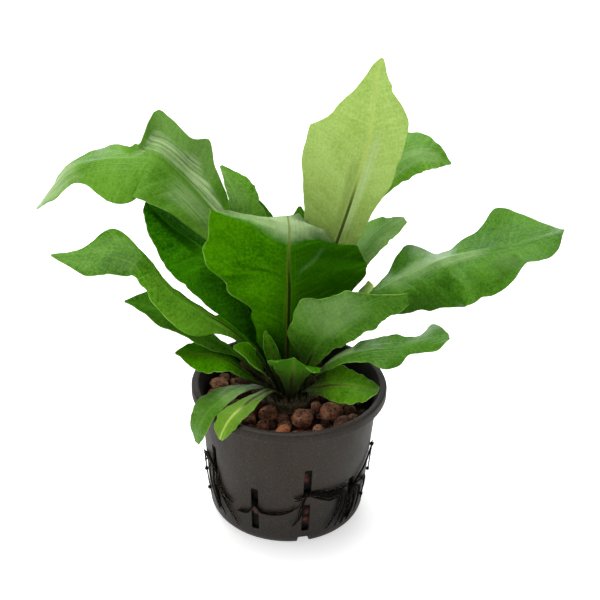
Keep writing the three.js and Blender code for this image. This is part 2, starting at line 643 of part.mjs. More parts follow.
// A round bar between sections of the given radii, closed at both ends
function barGeometry(points, radii, sides) {
  const rings = points.map((point, k) => {
    const before = points[Math.max(k - 1, 0)];
    const after = points[Math.min(k + 1, points.length - 1)];
    const along = after.clone().sub(before).normalize();
    const helper = Math.abs(along.z) < 0.9 ? new THREE.Vector3(0, 0, 1) : new THREE.Vector3(1, 0, 0);
    const side = along.clone().cross(helper).normalize();
    const up = side.clone().cross(along);
    return Array.from({ length: sides }, (_, j) => {
      const angle = (2 * Math.PI * j) / sides;
      return point.clone()
        .addScaledVector(side, radii[k] * Math.cos(angle))
        .addScaledVector(up, radii[k] * Math.sin(angle));
    });
  });
  const positions = rings.flat();
  const index = [];
  for (let i = 0; i < rings.length - 1; i += 1) {
    for (let j = 0; j < sides; j += 1) {
      const k = (j + 1) % sides;
      const a = i * sides;
      const b = a + sides;
      index.push(a + j, b + k, a + k, a + j, b + j, b + k);
    }
  }
  const last = (rings.length - 1) * sides;
  for (let j = 1; j < sides - 1; j += 1) {
    index.push(0, j, j + 1, last, last + j + 1, last + j);
  }
  const geometry = new THREE.BufferGeometry();
  const flat = positions.flatMap((p) => [p.x, p.y, p.z]);
  geometry.setAttribute("position", new THREE.Float32BufferAttribute(flat, 3));
  geometry.setIndex(index);
  return geometry;
}

// Crown: a stout body with a shallow dish on top, where the stalks stand together,
// and a ring of pointed scales below its rim
function crownSolid() {
  const rim = crownHeight(CROWN_RADIUS) - 1;
  const profile = [
    [0, CROWN_BOTTOM],
    [6, CROWN_BOTTOM + 1],
    [10, CROWN_BOTTOM + 12],
    [14, 88],
    [CROWN_RADIUS + 2, 98],
    [CROWN_RADIUS + 1.6, rim],
    [CROWN_RADIUS + 0.8, rim],
    ...[CROWN_RADIUS, 10, 5, 0].map((radius) => [radius, crownHeight(radius) - STALK_SINK - DISH_CLEARANCE]),
  ];
  const solids = [toSolid(turned(profile, 16))];
  for (let k = 0; k < SCALE_COUNT; k += 1) {
    const azimuth = (360 * k) / SCALE_COUNT;
    const low = 90 + (k % 3) * 2;
    const root = onCircle(azimuth, CROWN_RADIUS - 0.6, low);
    const tip = onCircle(azimuth + 5, CROWN_RADIUS + 3.8, low + 9);
    solids.push(toSolid(barGeometry([root, tip], [2.4, 0.5], 3)));
  }
  return joined(solids);
}

// Roots that cling to the pot's wall, as azimuth and height pairs from their slot
const ROOT_RADIUS = 1.1;
const ROOT_THINNING = 0.45;
const ROOT_GAP = 0.5;
const PLUG_DEPTH = 12;
const PLUG_REACH = 1.8;
const PLUG_SPARE = 0.5;
const ROOT_BUNDLES = [
  {
    name: "roots_front_right",
    slot: [284.5, 53],
    strands: [
      [[291, 53], [299, 51], [306, 50], [313, 50], [318, 53]],
      [[290, 49], [297, 45], [303, 43], [309, 44], [313, 46]],
      [[291, 51], [300, 47], [308, 46], [311, 40], [309, 31], [305, 22], [300, 14]],
      [[292, 51], [303, 48], [312, 46], [315, 38], [313, 26], [308, 14]],
      [[280, 50], [276, 50]],
      [[282, 45], [281, 33], [276, 23]],
    ],
  },
  {
    name: "roots_right",
    slot: [320.5, 45],
    strands: [
      [[319, 39], [320, 31], [317, 22], [313, 14]],
      [[323, 41], [325, 33], [324, 23], [319, 14]],
      [[326, 43], [331, 37], [331, 27], [327, 17]],
      [[327, 46], [336, 43], [340, 34], [337, 23]],
      [[327, 51], [338, 58], [347, 65], [352, 62], [353, 52], [350, 42], [355, 37]],
    ],
  },
  {
    name: "roots_left",
    slot: [212.5, 58],
    strands: [
      [[216, 52], [217, 42], [223, 33], [230, 22], [236, 14]],
      [[211, 50], [211, 40], [215, 28], [223, 16]],
      [[206, 54], [204, 42], [208, 30], [216, 17]],
      [[205, 62], [197, 58], [192, 48], [196, 36], [203, 22]],
      [[202, 58], [190, 54], [183, 44], [186, 32]],
      [[217, 48], [221, 39], [227, 35], [232, 34]],
    ],
  },
  {
    name: "roots_front_left",
    slot: [248.5, 40],
    strands: [
      [[253, 34], [259, 33], [266, 34], [273, 37], [279, 42]],
      [[244, 31], [239, 29], [235, 28]],
    ],
  },
  {
    name: "roots_back",
    slot: [104.5, 45],
    strands: [
      [[110, 48], [118, 44], [124, 36], [122, 24]],
      [[98, 44], [90, 38], [84, 28], [82, 18]],
      [[106, 38], [108, 28], [104, 14]],
      [[99, 49], [92, 52], [84, 50], [76, 42]],
    ],
  },
];

// Centre line just off the wall through azimuth and height pairs
function onWall(azimuth, height, radius) {
  return onCircle(azimuth, wallRadius(height) + radius + ROOT_GAP, height);
}

function rootStrand(bundle, strand) {
  const [slotAzimuth, slotHeight] = bundle.slot;
  const start = onWall(slotAzimuth, slotHeight, ROOT_RADIUS);
  const knots = [start, ...strand.map(([azimuth, height]) => onWall(azimuth, height, ROOT_RADIUS))];
  const count = strand.length * 2;
  const points = [];
  const radii = [];
  for (let k = 0; k <= count; k += 1) {
    const t = k / count;
    const point = splineAt(knots, t);
    const flat = Math.hypot(point.x, point.y);
    const least = wallRadius(point.z) + ROOT_RADIUS + ROOT_GAP;
    const scale = Math.max(least / flat, 1);
    points.push(new THREE.Vector3(point.x * scale, point.y * scale, point.z));
    radii.push(ROOT_RADIUS * (1 - ROOT_THINNING * t));
  }
  return toSolid(barGeometry(points, radii, 4));
}

// The strands leave the pot together through the slot, from a plug in the pellets
function rootPlug(bundle, spare) {
  const [azimuth, height] = bundle.slot;
  const inner = onCircle(azimuth, wallRadius(height) - PLUG_DEPTH, height);
  const outer = onCircle(azimuth, wallRadius(height) + PLUG_REACH + spare, height);
  return toSolid(barGeometry([inner, outer], [2 + spare, 2.2 + spare], 5));
}

function rootGeometry(bundle) {
  const strands = bundle.strands.map((strand) => rootStrand(bundle, strand));
  return toGeometry(joined([rootPlug(bundle, 0), ...strands]));
}

function material(colour, roughness) {
  return new THREE.MeshStandardMaterial({ color: colour, roughness, metalness: 0 });
}

function addPiece(group, name, geometry, finish) {
  const mesh = new THREE.Mesh(geometry, finish);
  mesh.name = name;
  group.add(mesh);
}

function buildFern() {
  const group = new THREE.Group();
  const rosette = new THREE.Group();
  const crownRoom = toSolid(turned([
    [0, CROWN_BOTTOM - 1],
    [7, CROWN_BOTTOM],
    [11, CROWN_BOTTOM + 12],
    [15, 87],
    [20, 91],
    [21, 112],
    [0, 112],
  ], 20));
  const rootRoom = ROOT_BUNDLES.map((bundle) => rootPlug(bundle, PLUG_SPARE));
  const notchRoom = notchBox(WALL_THICKNESS + BED_GAP, 0);
  addPiece(group, "culture_pot", potGeometry(), material(COLOURS.pot, 0.7));
  const bed = pelletGeometry([crownRoom, notchRoom, ...rootRoom]);
  addPiece(group, "clay_pellets", bed, material(COLOURS.pellets, 0.9));
  addPiece(group, "crown", toGeometry(crownSolid()), material(COLOURS.crown, 0.9));
  ROOT_BUNDLES.forEach((bundle) => {
    addPiece(group, bundle.name, rootGeometry(bundle), material(COLOURS.root, 0.85));
  });
  FRONDS.forEach((frond) => {
    addPiece(rosette, frond.name, frondGeometry(frond), material(COLOURS[frond.colour], 0.45));
  });
  group.add(rosette);
  return group;
}

export default buildFern();
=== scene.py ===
# Potted bird's nest fern: the finished look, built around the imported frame.
# Metres in the scene, millimetres in the values below. +Z is up, the origin is the
# centre of the pot's underside, and -Y faces the camera.
import math
import random

import bpy
import bmesh
import numpy as np
from mathutils import Euler, Matrix, Vector, noise


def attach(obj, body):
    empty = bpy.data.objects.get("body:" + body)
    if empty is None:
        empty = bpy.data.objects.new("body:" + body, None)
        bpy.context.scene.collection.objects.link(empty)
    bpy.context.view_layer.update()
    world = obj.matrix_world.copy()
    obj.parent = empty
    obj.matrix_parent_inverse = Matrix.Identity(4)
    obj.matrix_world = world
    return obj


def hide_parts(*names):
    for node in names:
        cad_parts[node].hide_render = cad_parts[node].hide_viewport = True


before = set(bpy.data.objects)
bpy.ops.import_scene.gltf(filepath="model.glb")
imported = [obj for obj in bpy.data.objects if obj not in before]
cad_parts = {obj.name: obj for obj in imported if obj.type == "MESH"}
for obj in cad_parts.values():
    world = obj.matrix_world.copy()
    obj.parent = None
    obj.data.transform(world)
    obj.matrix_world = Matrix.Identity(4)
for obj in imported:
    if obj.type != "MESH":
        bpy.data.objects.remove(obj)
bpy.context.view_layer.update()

MM = 0.001

# Camera of the photo, fitted to the ellipses of the pot's lip and foot
CAMERA_EYE = (0.0064, -0.766, 0.5835)
CAMERA_PITCH = 27.6
CAMERA_ROLL = 1.7
CAMERA_LENS = 70
CAMERA_SENSOR = 36
CAMERA_REACH = 20

# Pot
POT_HEIGHT = 113
LIP_OUTER_RADIUS = 75
LIP_SKIRT = 7
MOUTH_RADIUS = 70
WALL_TOP_RADIUS = 68.4
WALL_FOOT_RADIUS = 61
WALL_THICKNESS = 1.6
FOOT_FILLET = 12
POT_SEGMENTS = 180
POT_SHARP_EDGE = 32
SLOT_ROUNDING = 1.2
SLOT_WIDTH = 6
SLOT_DEPTH = 8
SLOT_COLUMNS = 10
FRONT_AZIMUTH = 284.5
SLOT_LEVELS = [[[16, 42], [49, 75]], [[15, 33], [36, 54]]]
NOTCH_WIDTH = 10.5
NOTCH_HEIGHT = 10
NOTCH_INNER_RADIUS = 44

# Dark specks on the pot's wall, as azimuth, height and radius
POT_SPECKS = [
    [273, 90, 0.7], [284, 72, 0.8], [264, 70, 0.5], [303, 70, 0.6], [326, 80, 0.7], [315, 74, 0.5],
    [305, 62, 0.8], [296, 84, 0.4], [256, 84, 0.4], [248, 62, 0.5], [270, 58, 0.4], [318, 92, 0.5],
]

# Bed of pellets: those that show between the stalks, as azimuth, radius, height and size,
# then rings as radius and count, and small pellets that fill the gaps. Lumps are pairs of
# closeness and height.
BED_TOP = 99
BED_GAP = 0.4
BED_INSET = 1.5
BED_SEGMENTS = 120
PELLET_SPOTS = [
    [165, 57, 97, 8], [236, 27, 96, 8], [243, 41, 94, 6], [266, 46, 96, 6.5], [291, 30, 97, 9.5],
    [326, 25, 99, 4.5], [329, 38, 98, 9.5], [300, 46, 94, 5], [333, 55, 95, 5], [29, 57, 96, 7.5],
]
PELLET_SHADES = [0.4, 0.45, 0.35, 1.0, 0.6, 0.3, 0.65, 0.5, 0.25, 0.35]
PELLET_RINGS = [[59, 17], [44, 13], [29, 9]]
PELLET_RADII = [6, 7.5, 9, 10.5]
PELLET_SPACING = 0.85
PELLET_LUMPS = [(1.4, 0.13), (4, 0.06), (11, 0.02)]
PELLET_FLATS = 5
PELLET_FLAT_REACH = 0.86
PELLET_DETAIL = 4
BED_LUMPS = [(0.11, 1.6), (0.3, 0.7)]
BED_LUMP_LIMIT = 0.9
FILLER_TRIES = 2600
FILLER_RADII = (4, 8)
FILLER_NEAREST = 19
FILLER_SPACING = 0.72

# Crown, and the rings of scales on it as radius, height, count and outward lean
CROWN_RADIUS = 15
CROWN_TOP = 108
CROWN_BOTTOM = 62
CROWN_DROP = 0.022
CROWN_SHARP_EDGE = 50
SCALE_RINGS = [(15.2, 88, 40, 0.34), (15.6, 91, 40, 0.4), (16, 94, 38, 0.45), (15.6, 97, 36, 0.35),
               (14.6, 98.5, 34, 0.2)]
SCALE_SHAPE = [0.55, 1.0, 0.9, 0.55, 0.06]
SCALES_ON_STALK = 14

# Fronds
BLADE_THICKNESS = 0.7
STALK_HALF_WIDTH = 1.7
STALK_THICKNESS = 2.8
MIDRIB_TIP_THICKNESS = 1
MIDRIB_HALF_WIDTH = 2.2
MIDRIB_WIDEST_SHARE = 0.5
STALK_EDGE_THICKNESS = 1.4
STALK_SINK = 7
STALK_LEAN_IN = 0.93
FOLD_REACH = 0.5
FOLD_SOFTNESS = 0.06
BUCKLE_HEIGHT = 1.3
BUCKLE_LENGTH = 15
BUCKLE_BREADTH = 24
FRAME_STEPS = 120
TANGENT_STEP = 0.002
RIB_COLUMNS = (0.2, 0.4, 0.65, 1.0)
RIM_COLUMN = 0.35
RIM_SWELL = 0.3
GROOVE_DEPTH = 0.35
GROOVE_HALF_WIDTH = 0.6
RIGHT_WAVE_PHASE = 2
FULL_WIDTH = 14
BROAD_WIDTH = 25
BROAD_GRID = (150, 16)
SLIM_GRID = (90, 10)
VEIN_SLANT = 0.45

# Small ripples of the margins' outline, as height, seed and closeness, and the height of
# those that rise from the blade
OUTLINE_RIPPLES = [(1.5, 0, 18), (0.9, 40, 40)]
RISEN_RIPPLE = 1.3

# Each frond's base as azimuth and radius in the crown and heading, its waves as height,
# count and phase, and its spine's path from the crown outwards. The rest is left and right
# of the spine as seen looking outwards, or the same for both halves: half widths, lifts in
# degrees above the flat, and folds in degrees that the outer part turns further. They
# stand at the path's stations, or also at the halves or quarters between them, and are
# nought where they are left out.
FRONDS = [
    dict(name="01_long_left", colour="light", base=(165, 4, 155), waves=(2, 4.5, 0.4),
         path=[(-8, 9, 128), (-22, 18, 168), (-42, 30, 207), (-67, 42, 237), (-91, 50, 258),
               (-108, 54, 270), (-126, 57, 269), (-146, 60, 266), (-168, 61, 259), (-184, 60, 243),
               (-198, 58, 225)],
         left=[4, 6, 8, 11, 14, 18, 23, 27, 31, 33, 31, 33, 37, 36, 32, 21, 15, 14, 17, 12, 1],
         right=[4, 4.5, 5, 5.5, 6, 7, 8, 10, 12, 14, 17, 20, 24, 28, 33, 40, 46, 40, 37, 38, 41, 42, 12,
                11, 11, 14, 17, 20, 21, 19, 16, 13, 11, 11, 10, 9, 8, 7, 5, 3, 1],
         left_lift=[0, 0, -10, -20, -30, -36, -38, -38, -30, -20, -10],
         right_lift=[0, 5, 5, 8, 12, 14, 10, 10, 0, 0, 0],
         right_fold=[0, 0, 5, 30, 52, 58, 20, 0, 0, 0, 0]),
    dict(name="02_upright_back_left", colour="middle", base=(130, 9, 120), waves=(1.5, 2.5, 0),
         path=[(-6, 17, 125), (-14, 34, 168), (-29, 47, 211), (-40, 52, 235), (-46, 54, 249),
               (-56, 55, 266)],
         left=[3, 6, 9, 9, 7, 1], right=[3, 8, 14, 14, 13, 1], right_lift=[0, 0, 5, 10, 10, 0]),
    dict(name="03_upright_back", colour="middle", base=(100, 9, 105), waves=(1, 2.5, 1),
         path=[(-2, 22, 125), (-6, 46, 160), (-16, 66, 200), (-24, 73, 220), (-30, 76, 231)],
         left=[4, 10, 12, 8, 1], right=[4, 10, 9, 5, 1], both_lift=[0, 5, 5, 5, 0]),
    dict(name="04_tallest_young", colour="young", base=(75, 4, 75), waves=(1.5, 3, 0),
         path=[(6, 13, 130), (14, 24, 158), (24, 34, 186), (35, 44, 217), (42, 50, 239), (49, 56, 265),
               (55, 62, 290), (56, 65, 313), (57, 67, 332), (61, 68, 348)],
         left=[4, 7, 10, 15, 20, 25, 30, 35, 39, 44, 47, 47, 46, 33, 24, 14, 9, 5, 1],
         right=[4, 7, 9, 11, 13, 14, 15, 16, 19, 24, 27, 28, 29, 28, 25, 16, 12, 6, 1],
         right_lift=[0, 5, 10, 10, 10, 10, 10, 10, 5, 0]),
    dict(name="05_back_right", colour="light", base=(35, 9, 45), waves=(2, 3, 2),
         path=[(10, 15, 128), (18, 27, 155), (31, 42, 187), (53, 61, 235), (72, 71, 259), (91, 75, 271),
               (108, 76, 270), (119, 76, 265)],
         left=[4, 6, 9, 11, 14, 18, 22, 26, 27, 26, 26, 22, 13, 4, 1], right=[4, 6, 7, 9, 14, 16, 12, 1],
         left_lift=[0, 0, 0, 0, 0, 5, 5, 0], right_lift=[0, 0, 0, -10, -10, -10, -10, 0]),
    dict(name="06_low_back_right", colour="light", base=(22, 13.5, 35), waves=(1.5, 2.5, 1),
         path=[(18, 19, 126), (31, 32, 160), (49, 46, 192), (65, 55, 210), (76, 58, 218), (86, 60, 224)],
         left=[4, 10, 18, 23, 13, 4], right=[4, 7, 8, 11, 8, 3], right_lift=[0, 0, -20, -15, -10, 0]),
    dict(name="07_long_right", colour="middle", base=(355, 4, 8), waves=(3, 5.5, 1),
         path=[(11, 4, 130), (23, 8, 149), (41, 12, 166), (63, 18, 182), (82, 23, 192), (98, 26, 199),
               (115, 29, 207), (134, 32, 211), (159, 33, 216), (181, 33, 223), (202, 32, 232)],
         left=[3, 3, 4, 4, 4, 4, 5, 12, 22, 29, 35, 30, 23, 15, 18, 27, 39, 38, 26, 12, 1],
         right=[3, 4, 5, 6, 8, 13, 19, 26, 31, 33, 33, 39, 45, 46, 40, 39, 34, 24, 23, 18, 1],
         left_lift=[0, 0, 5, 15, 15, 10, -5, 10, 32, 15, 0],
         right_lift=[0, 0, -10, -25, -40, -38, -38, -32, -28, -20, 0],
         right_fold=[0, 0, 0, -20, -45, -30, 0, 0, 0, 0, 0]),
    dict(name="08_broad_centre", colour="deep", base=(268, 4, 90), waves=(3, 7, 5.7),
         path=[(-1, -4, 122), (-2, -3, 142), (-2, -1, 168), (-2, 2, 190), (-3, 8, 207), (-3, 16, 219),
               (-3, 29, 225), (-4, 40, 228), (-5, 47, 230)],
         left=[6, 11, 18, 23, 27, 30, 45, 47, 61, 64, 60, 61, 63, 57, 46, 34, 18],
         right=[6, 10, 17, 22, 28, 35, 46, 57, 58, 56, 52, 47, 40, 28, 24, 14, 8],
         left_lift=[5, 10, 12, 15, 12, 10, 22, 15, 5], right_lift=[5, 10, 10, 8, 0, 0, -20, -15, 0]),
    dict(name="09_dark_left", colour="dark", base=(162, 9, 155), waves=(1.5, 3.5, 1),
         path=[(-15, 6, 124), (-25, 9, 151), (-40, 13, 182), (-58, 19, 206), (-76, 24, 218),
               (-91, 28, 227), (-102, 32, 236), (-110, 36, 243)],
         left=[4, 14, 27, 34, 33, 26, 17, 2], right=[4, 9, 14, 17, 18, 17, 12, 1],
         left_lift=[0, -5, -20, -25, -15, -5, 0, 0], right_lift=[0, 0, -5, -10, -10, -10, 0, 0]),
    dict(name="10_short_inner", colour="deep", base=(243, 9, 95), waves=(0.5, 2, 0),
         path=[(-8, -9, 122), (-11, -10, 135), (-15, -10, 148), (-19, -9, 161)], both=[3, 5, 5, 1],
         both_lift=[5, 10, 10, 0]),
    dict(name="11_twisted_left", colour="middle", base=(194, 9, 188), waves=(1.2, 3.5, 0),
         path=[(-21, -5, 132), (-34, -8, 150), (-48, -11, 165), (-63, -14, 176), (-79, -17, 187),
               (-90, -20, 199), (-98, -22, 213), (-109, -24, 227), (-127, -26, 232), (-147, -28, 229),
               (-169, -30, 228)],
         left=[3, 3, 4, 6, 8, 13, 18, 20, 18, 17, 15, 13, 13, 13, 16, 20, 22, 23, 20, 11, 1],
         right=[3, 3, 4, 5, 6, 8, 10, 11, 12, 11, 10, 8, 6, 6, 8, 16, 23, 19, 12, 6, 1],
         left_lift=[0, -10, -30, -40, -40, -45, -60, -40, -25, -20, 0],
         right_lift=[0, 0, 0, 0, 0, 0, 20, 25, 12, 0, 0]),
    dict(name="12_under_left", colour="middle", base=(176, 13.5, 192), waves=(1.5, 3, 0),
         path=[(-26, -1, 120), (-41, -4, 138), (-58, -8, 152), (-77, -11, 165), (-97, -14, 179),
               (-121, -18, 187)],
         left=[3, 6, 10, 14, 14, 1], right=[3, 6, 9, 12, 18, 1], left_lift=[0, -10, -20, -20, -20, 0],
         right_lift=[0, 0, 0, 5, 30, 10]),
    dict(name="13_low_left", colour="deep", base=(195, 13.5, 198), waves=(1, 2, 0),
         path=[(-23, -11, 117), (-33, -16, 128), (-44, -20, 139), (-59, -23, 147), (-72, -25, 150),
               (-84, -27, 150)],
         left=[3, 6, 10, 17, 14, 1], right=[3, 6, 13, 18, 13, 1], left_lift=[0, -10, -15, -20, -20, 0],
         right_lift=[0, 0, 5, 5, 5, 0]),
    dict(name="14_drooping_front_left", colour="light", base=(233, 13.5, 218), waves=(1, 2, 1),
         path=[(-20, -19, 118), (-34, -32, 124), (-47, -44, 123), (-58, -52, 116), (-64, -57, 105),
               (-66, -58, 93)],
         left=[3, 4, 6, 7, 7, 3], right=[3, 6, 12, 15, 11, 2], left_lift=[0, -5, -10, -10, -5, 0],
         right_lift=[0, 0, 5, 0, 0, 0]),
    dict(name="15_drooping_front", colour="young", base=(251, 13.5, 234), waves=(1, 2, 2),
         path=[(-12, -22, 117), (-22, -37, 122), (-32, -50, 121), (-41, -61, 117), (-46, -67, 110),
               (-48, -69, 104)],
         left=[3, 5, 8, 8, 6, 2], right=[3, 4, 7, 10, 8, 2], left_lift=[0, -5, -10, -10, -5, 0],
         right_lift=[0, 0, 5, 5, 5, 0]),
    dict(name="16_round_front_right", colour="deep", base=(312, 13.5, 332), waves=(1.5, 2.5, 0),
         path=[(13, -14, 114), (22, -19, 119), (33, -23, 124), (46, -28, 127), (57, -31, 127),
               (66, -34, 127)],
         left=[4, 11, 17, 13, 9, 4], right=[4, 8, 13, 16, 13, 3], left_lift=[0, 25, 30, 30, 15, 0],
         right_lift=[0, -10, -20, -25, -20, 0]),
    dict(name="17_low_right", colour="middle", base=(336, 13.5, 350), waves=(1.5, 3, 0),
         path=[(16, -8, 118), (25, -12, 131), (40, -15, 144), (59, -17, 152), (78, -18, 155),
               (96, -18, 160), (117, -17, 165)],
         left=[2, 3, 4, 5, 7, 11, 15, 16, 16, 11, 12, 22, 5],
         right=[3, 4, 5, 6, 7, 10, 14, 20, 16, 8, 9, 11, 3], left_lift=[0, 0, 5, 5, 5, 5, 0],
         right_lift=[0, 0, -10, -20, -20, -20, 0]),
    dict(name="18_cupped_right", colour="middle", base=(300, 9, 70), waves=(1.5, 3, 0),
         path=[(10, -12, 125), (14, -14, 138), (19, -17, 152), (26, -20, 166), (36, -25, 180),
               (50, -30, 193), (65, -34, 203), (82, -37, 208)],
         left=[3, 5, 8, 17, 24, 25, 29, 29, 23, 18, 16, 9, 4, 2, 2],
         right=[3, 5, 6, 8, 10, 12, 14, 16, 17, 17, 18, 15, 13, 12, 6]),
    dict(name="19_short_front", colour="deep", base=(270, 13.5, 270), waves=(0.5, 2, 0),
         path=[(2, -20, 117), (2, -24, 128), (3, -29, 140), (3, -33, 149), (3, -37, 155)],
         left=[5, 10, 17, 20, 13], right=[5, 10, 15, 19, 13], left_lift=[5, 12, 5, -18, -38],
         right_lift=[5, 12, 10, 0, -18]),
    dict(name="20_short_left", colour="deep", base=(214, 13.5, 210), waves=(0.5, 2, 0),
         path=[(-14, -12, 118), (-20, -17, 130), (-28, -22, 142), (-34, -25, 151), (-41, -28, 156)],
         left=[3, 5, 6, 5, 1], right=[3, 6, 9, 8, 3], left_lift=[0, 5, -10, -10, 0],
         right_lift=[0, 20, 50, 60, 30]),
    dict(name="21_curled_young", colour="young", base=(338, 9, 12), waves=(0.5, 2, 0),
         path=[(14, -3, 122), (26, -3, 140), (40, -4, 161), (51, 0, 181), (60, 3, 196)],
         both=[2, 4, 7, 9, 6], both_lift=[0, 5, 10, 20, 20]),
    dict(name="22_narrow_back", colour="middle", base=(68, 9, 88), waves=(1, 2.5, 0),
         path=[(7, 25, 123), (7, 52, 158), (5, 76, 197), (4, 90, 220)], both=[4, 12, 14, 1],
         both_lift=[0, 5, 5, 0]),
    dict(name="23_low_back_right", colour="deep", base=(52, 13.5, 60), waves=(1.5, 3, 0),
         path=[(15, 23, 114), (29, 46, 127), (41, 66, 133), (51, 84, 133), (58, 98, 126)],
         both=[4, 12, 16, 14, 1], both_lift=[0, 5, 5, 0, 0]),
    dict(name="24_low_back", colour="middle", base=(88, 13.5, 92), waves=(1.5, 3, 1),
         path=[(-1, 26, 114), (-3, 48, 124), (-5, 72, 129), (-7, 92, 128), (-9, 108, 120)],
         both=[4, 12, 17, 15, 1], both_lift=[0, 5, 5, 0, 0]),
    dict(name="25_low_back_left", colour="deep", base=(124, 13.5, 126), waves=(1.5, 3, 2),
         path=[(-16, 23, 114), (-31, 42, 125), (-46, 60, 130), (-58, 76, 127), (-66, 90, 117)],
         both=[4, 12, 15, 13, 1], both_lift=[0, 5, 5, 0, 0]),
]

# Leaf colours as seen in daylight: shaded part, lit part, underside
LEAF_COLOURS = {
    "young": [(138, 168, 66), (172, 200, 104), (142, 172, 84)],
    "light": [(64, 118, 20), (104, 156, 48), (84, 134, 40)],
    "middle": [(34, 86, 6), (86, 140, 34), (68, 118, 28)],
    "deep": [(34, 92, 1), (78, 144, 3), (56, 106, 16)],
    "dark": [(14, 62, 1), (52, 114, 4), (36, 84, 8)],
}

# How the midrib is coloured along each kind of frond: dark up to the first share of the
# length and pale beyond the second, how strongly the pale part shows, and its breadth
RIBS = {
    "young": [0.54, 0.66, 0.7, 1.5],
    "light": [0.34, 0.46, 0.2, 0.7],
    "middle": [0.36, 0.5, 0.1, 0.8],
    "deep": [0.5, 0.72, 0.6, 1.7],
    "dark": [0.25, 0.4, 0.3, 0.8],
}
PALE_RIBS = {"young": (184, 200, 98), "deep": (100, 108, 40)}
PALE_RIB = (112, 152, 60)
DARK_RIB = (18, 10, 6)
# Painted light on the left edge of the dark midrib
RIB_LIT_EDGE = (96, 84, 34)

# Where the shade towards the crown ends on each kind, as a share of the length, and its
# strength; then how strongly streaks and pleats show
LOW_SHADES = {"young": (0.78, 0.8)}
LOW_SHADE = (0.62, 0.35)
STREAKS = {"young": 0.08}
STREAK = 0.15
PLEATS = {"deep": 0.12}
PLEAT = 0.3

# Fronds that are a shade off their kind, by number: red, green and blue shares. They are
# partly painted light and shade: fronds the lamps leave too dark are lifted, and those in
# shade are darkened.
TINTS_AND_LIGHTING = {
    "01": (1.15, 1.1, 1.15), "02": (2.4, 2.0, 3), "04": (1.15, 1.15, 1.35), "05": (1.3, 1.2, 1.3),
    "06": (2.2, 1.9, 2.6), "09": (1.35, 1.35, 1.5), "11": (1.45, 1.35, 1.2), "14": (0.76, 0.76, 0.8),
    "15": (0.38, 0.55, 0.2), "16": (1.3, 1.0, 0.9), "18": (0.85, 0.82, 0.8), "21": (1.1, 1.25, 0.9),
    "25": (0.4, 0.5, 0.5),
}

# How much painted shade darkens the right half of a frond against the left
RIGHT_SHADES = {"08": 0.8}
RIGHT_SHADE = 0.1

# Fronds without gloss, and the gloss of the others
MATTE = "08 09 10 11 12 13 20 22 23 24 25".split()
LEAF_GLOSS = 0.35
LEAF_GLOSS_TINT = (0.3, 0.6, 0.1, 1)

# Parts of the mottling in a leaf's tone
MOTTLE_PART = 0.22
BROAD_PART = 0.34
STREAK_PART = 0.2
GRAIN_PART = 0.54

# Colour of the painted highlight laid on the pale zones below
PAINTED_SHEEN = (190, 212, 160)
# The dark margin colour is partly a painted shadow line
DARK_MARGIN = (22, 26, 12)
PALE_MARGIN = (150, 186, 92)
STALK_BROWN = (44, 46, 26)

# Zones on a frond with a painted highlight, a pale sheen, or with painted shade where the
# strength is negative: share of the length from and to, and how softly they end; middle and
# half breadth as a share of the half width, with left positive; how far both ends are put off
# towards the margins; strength; and the share that fine lines along the frond take of it
ZONES = {
    "01": [[0.36, 0.66, 0.05, -0.44, 0.3, 0, 0.85, 0.8], [0.8, 1.05, 0.08, 0, 1.2, 0, 0.6, 0.4],
           [0.36, 0.52, 0.06, 0.3, 0.5, 0, 0.3, 0.6], [0.4, 0.66, 0.08, -0.85, 0.5, 0, 0.13, 0.1]],
    "02": [[0.6, 1.2, 0.2, 0.4, 1.2, 0, 0.18, 0.3]],
    "04": [[0.44, 0.76, 0.06, -0.2, 0.2, 0, 0.4, 0.5], [0.46, 0.68, 0.05, 0.1, 0.12, 0, -0.4, 0.2]],
    "05": [[0.6, 0.94, 0.08, -0.1, 0.6, 0, 0.25, 0.3]],
    "06": [[0.5, 1.1, 0.05, 0, 1.3, 0, 0.5, 0.1]],
    "07": [[0.42, 0.7, 0.1, 0.1, 0.4, 0, 0.25, 0.3], [0.62, 0.8, 0.05, -0.04, 0.18, 0, 0.3, 0.3],
           [0.42, 0.61, 0.03, -0.9, 0.4, 0, -0.5, 0.1], [0.78, 0.88, 0.03, -0.6, 0.36, 0, -0.45, 0.1],
           [0.59, 0.66, 0.02, -0.5, 0.2, 0, -0.35, 0.1]],
    "08": [[0.69, 1.2, 0.12, 0, 1.8, 0.16, 0.6, 0.15], [0.84, 1.2, 0.06, 0.3, 1.3, 0.1, 0.5, 0.3],
           [0.545, 0.58, 0.015, 0.75, 0.3, 0, -0.5, 0.2], [0.49, 0.54, 0.025, -0.32, 0.24, 0.36, 0.06, 0.2],
           [0.54, 0.565, 0.01, 0.36, 0.34, 0.1, -0.5, 0.1]],
    "09": [[0.6, 0.95, 0.06, 0.14, 0.2, 0, -0.7, 0], [0.5, 0.98, 0.1, -0.7, 0.6, 0, 0.05, 0.1]],
    "11": [[0.25, 0.66, 0.1, -0.7, 0.7, 0, -0.3, 0.1], [0.7, 1.05, 0.08, 0.1, 1.2, 0, 0.12, 0.2]],
    "14": [[0.38, 0.62, 0.08, 0, 1.2, 0, 0.25, 0.4]],
    "17": [[0.36, 0.58, 0.05, 0.5, 0.5, 0, 0.6, 0.1]],
    "18": [[0.48, 0.86, 0.14, 0.3, 0.9, 0, 0.15, 0.1]],
    "21": [[0.5, 1.1, 0.1, 0, 1.3, 0, 0.3, 0]],
}

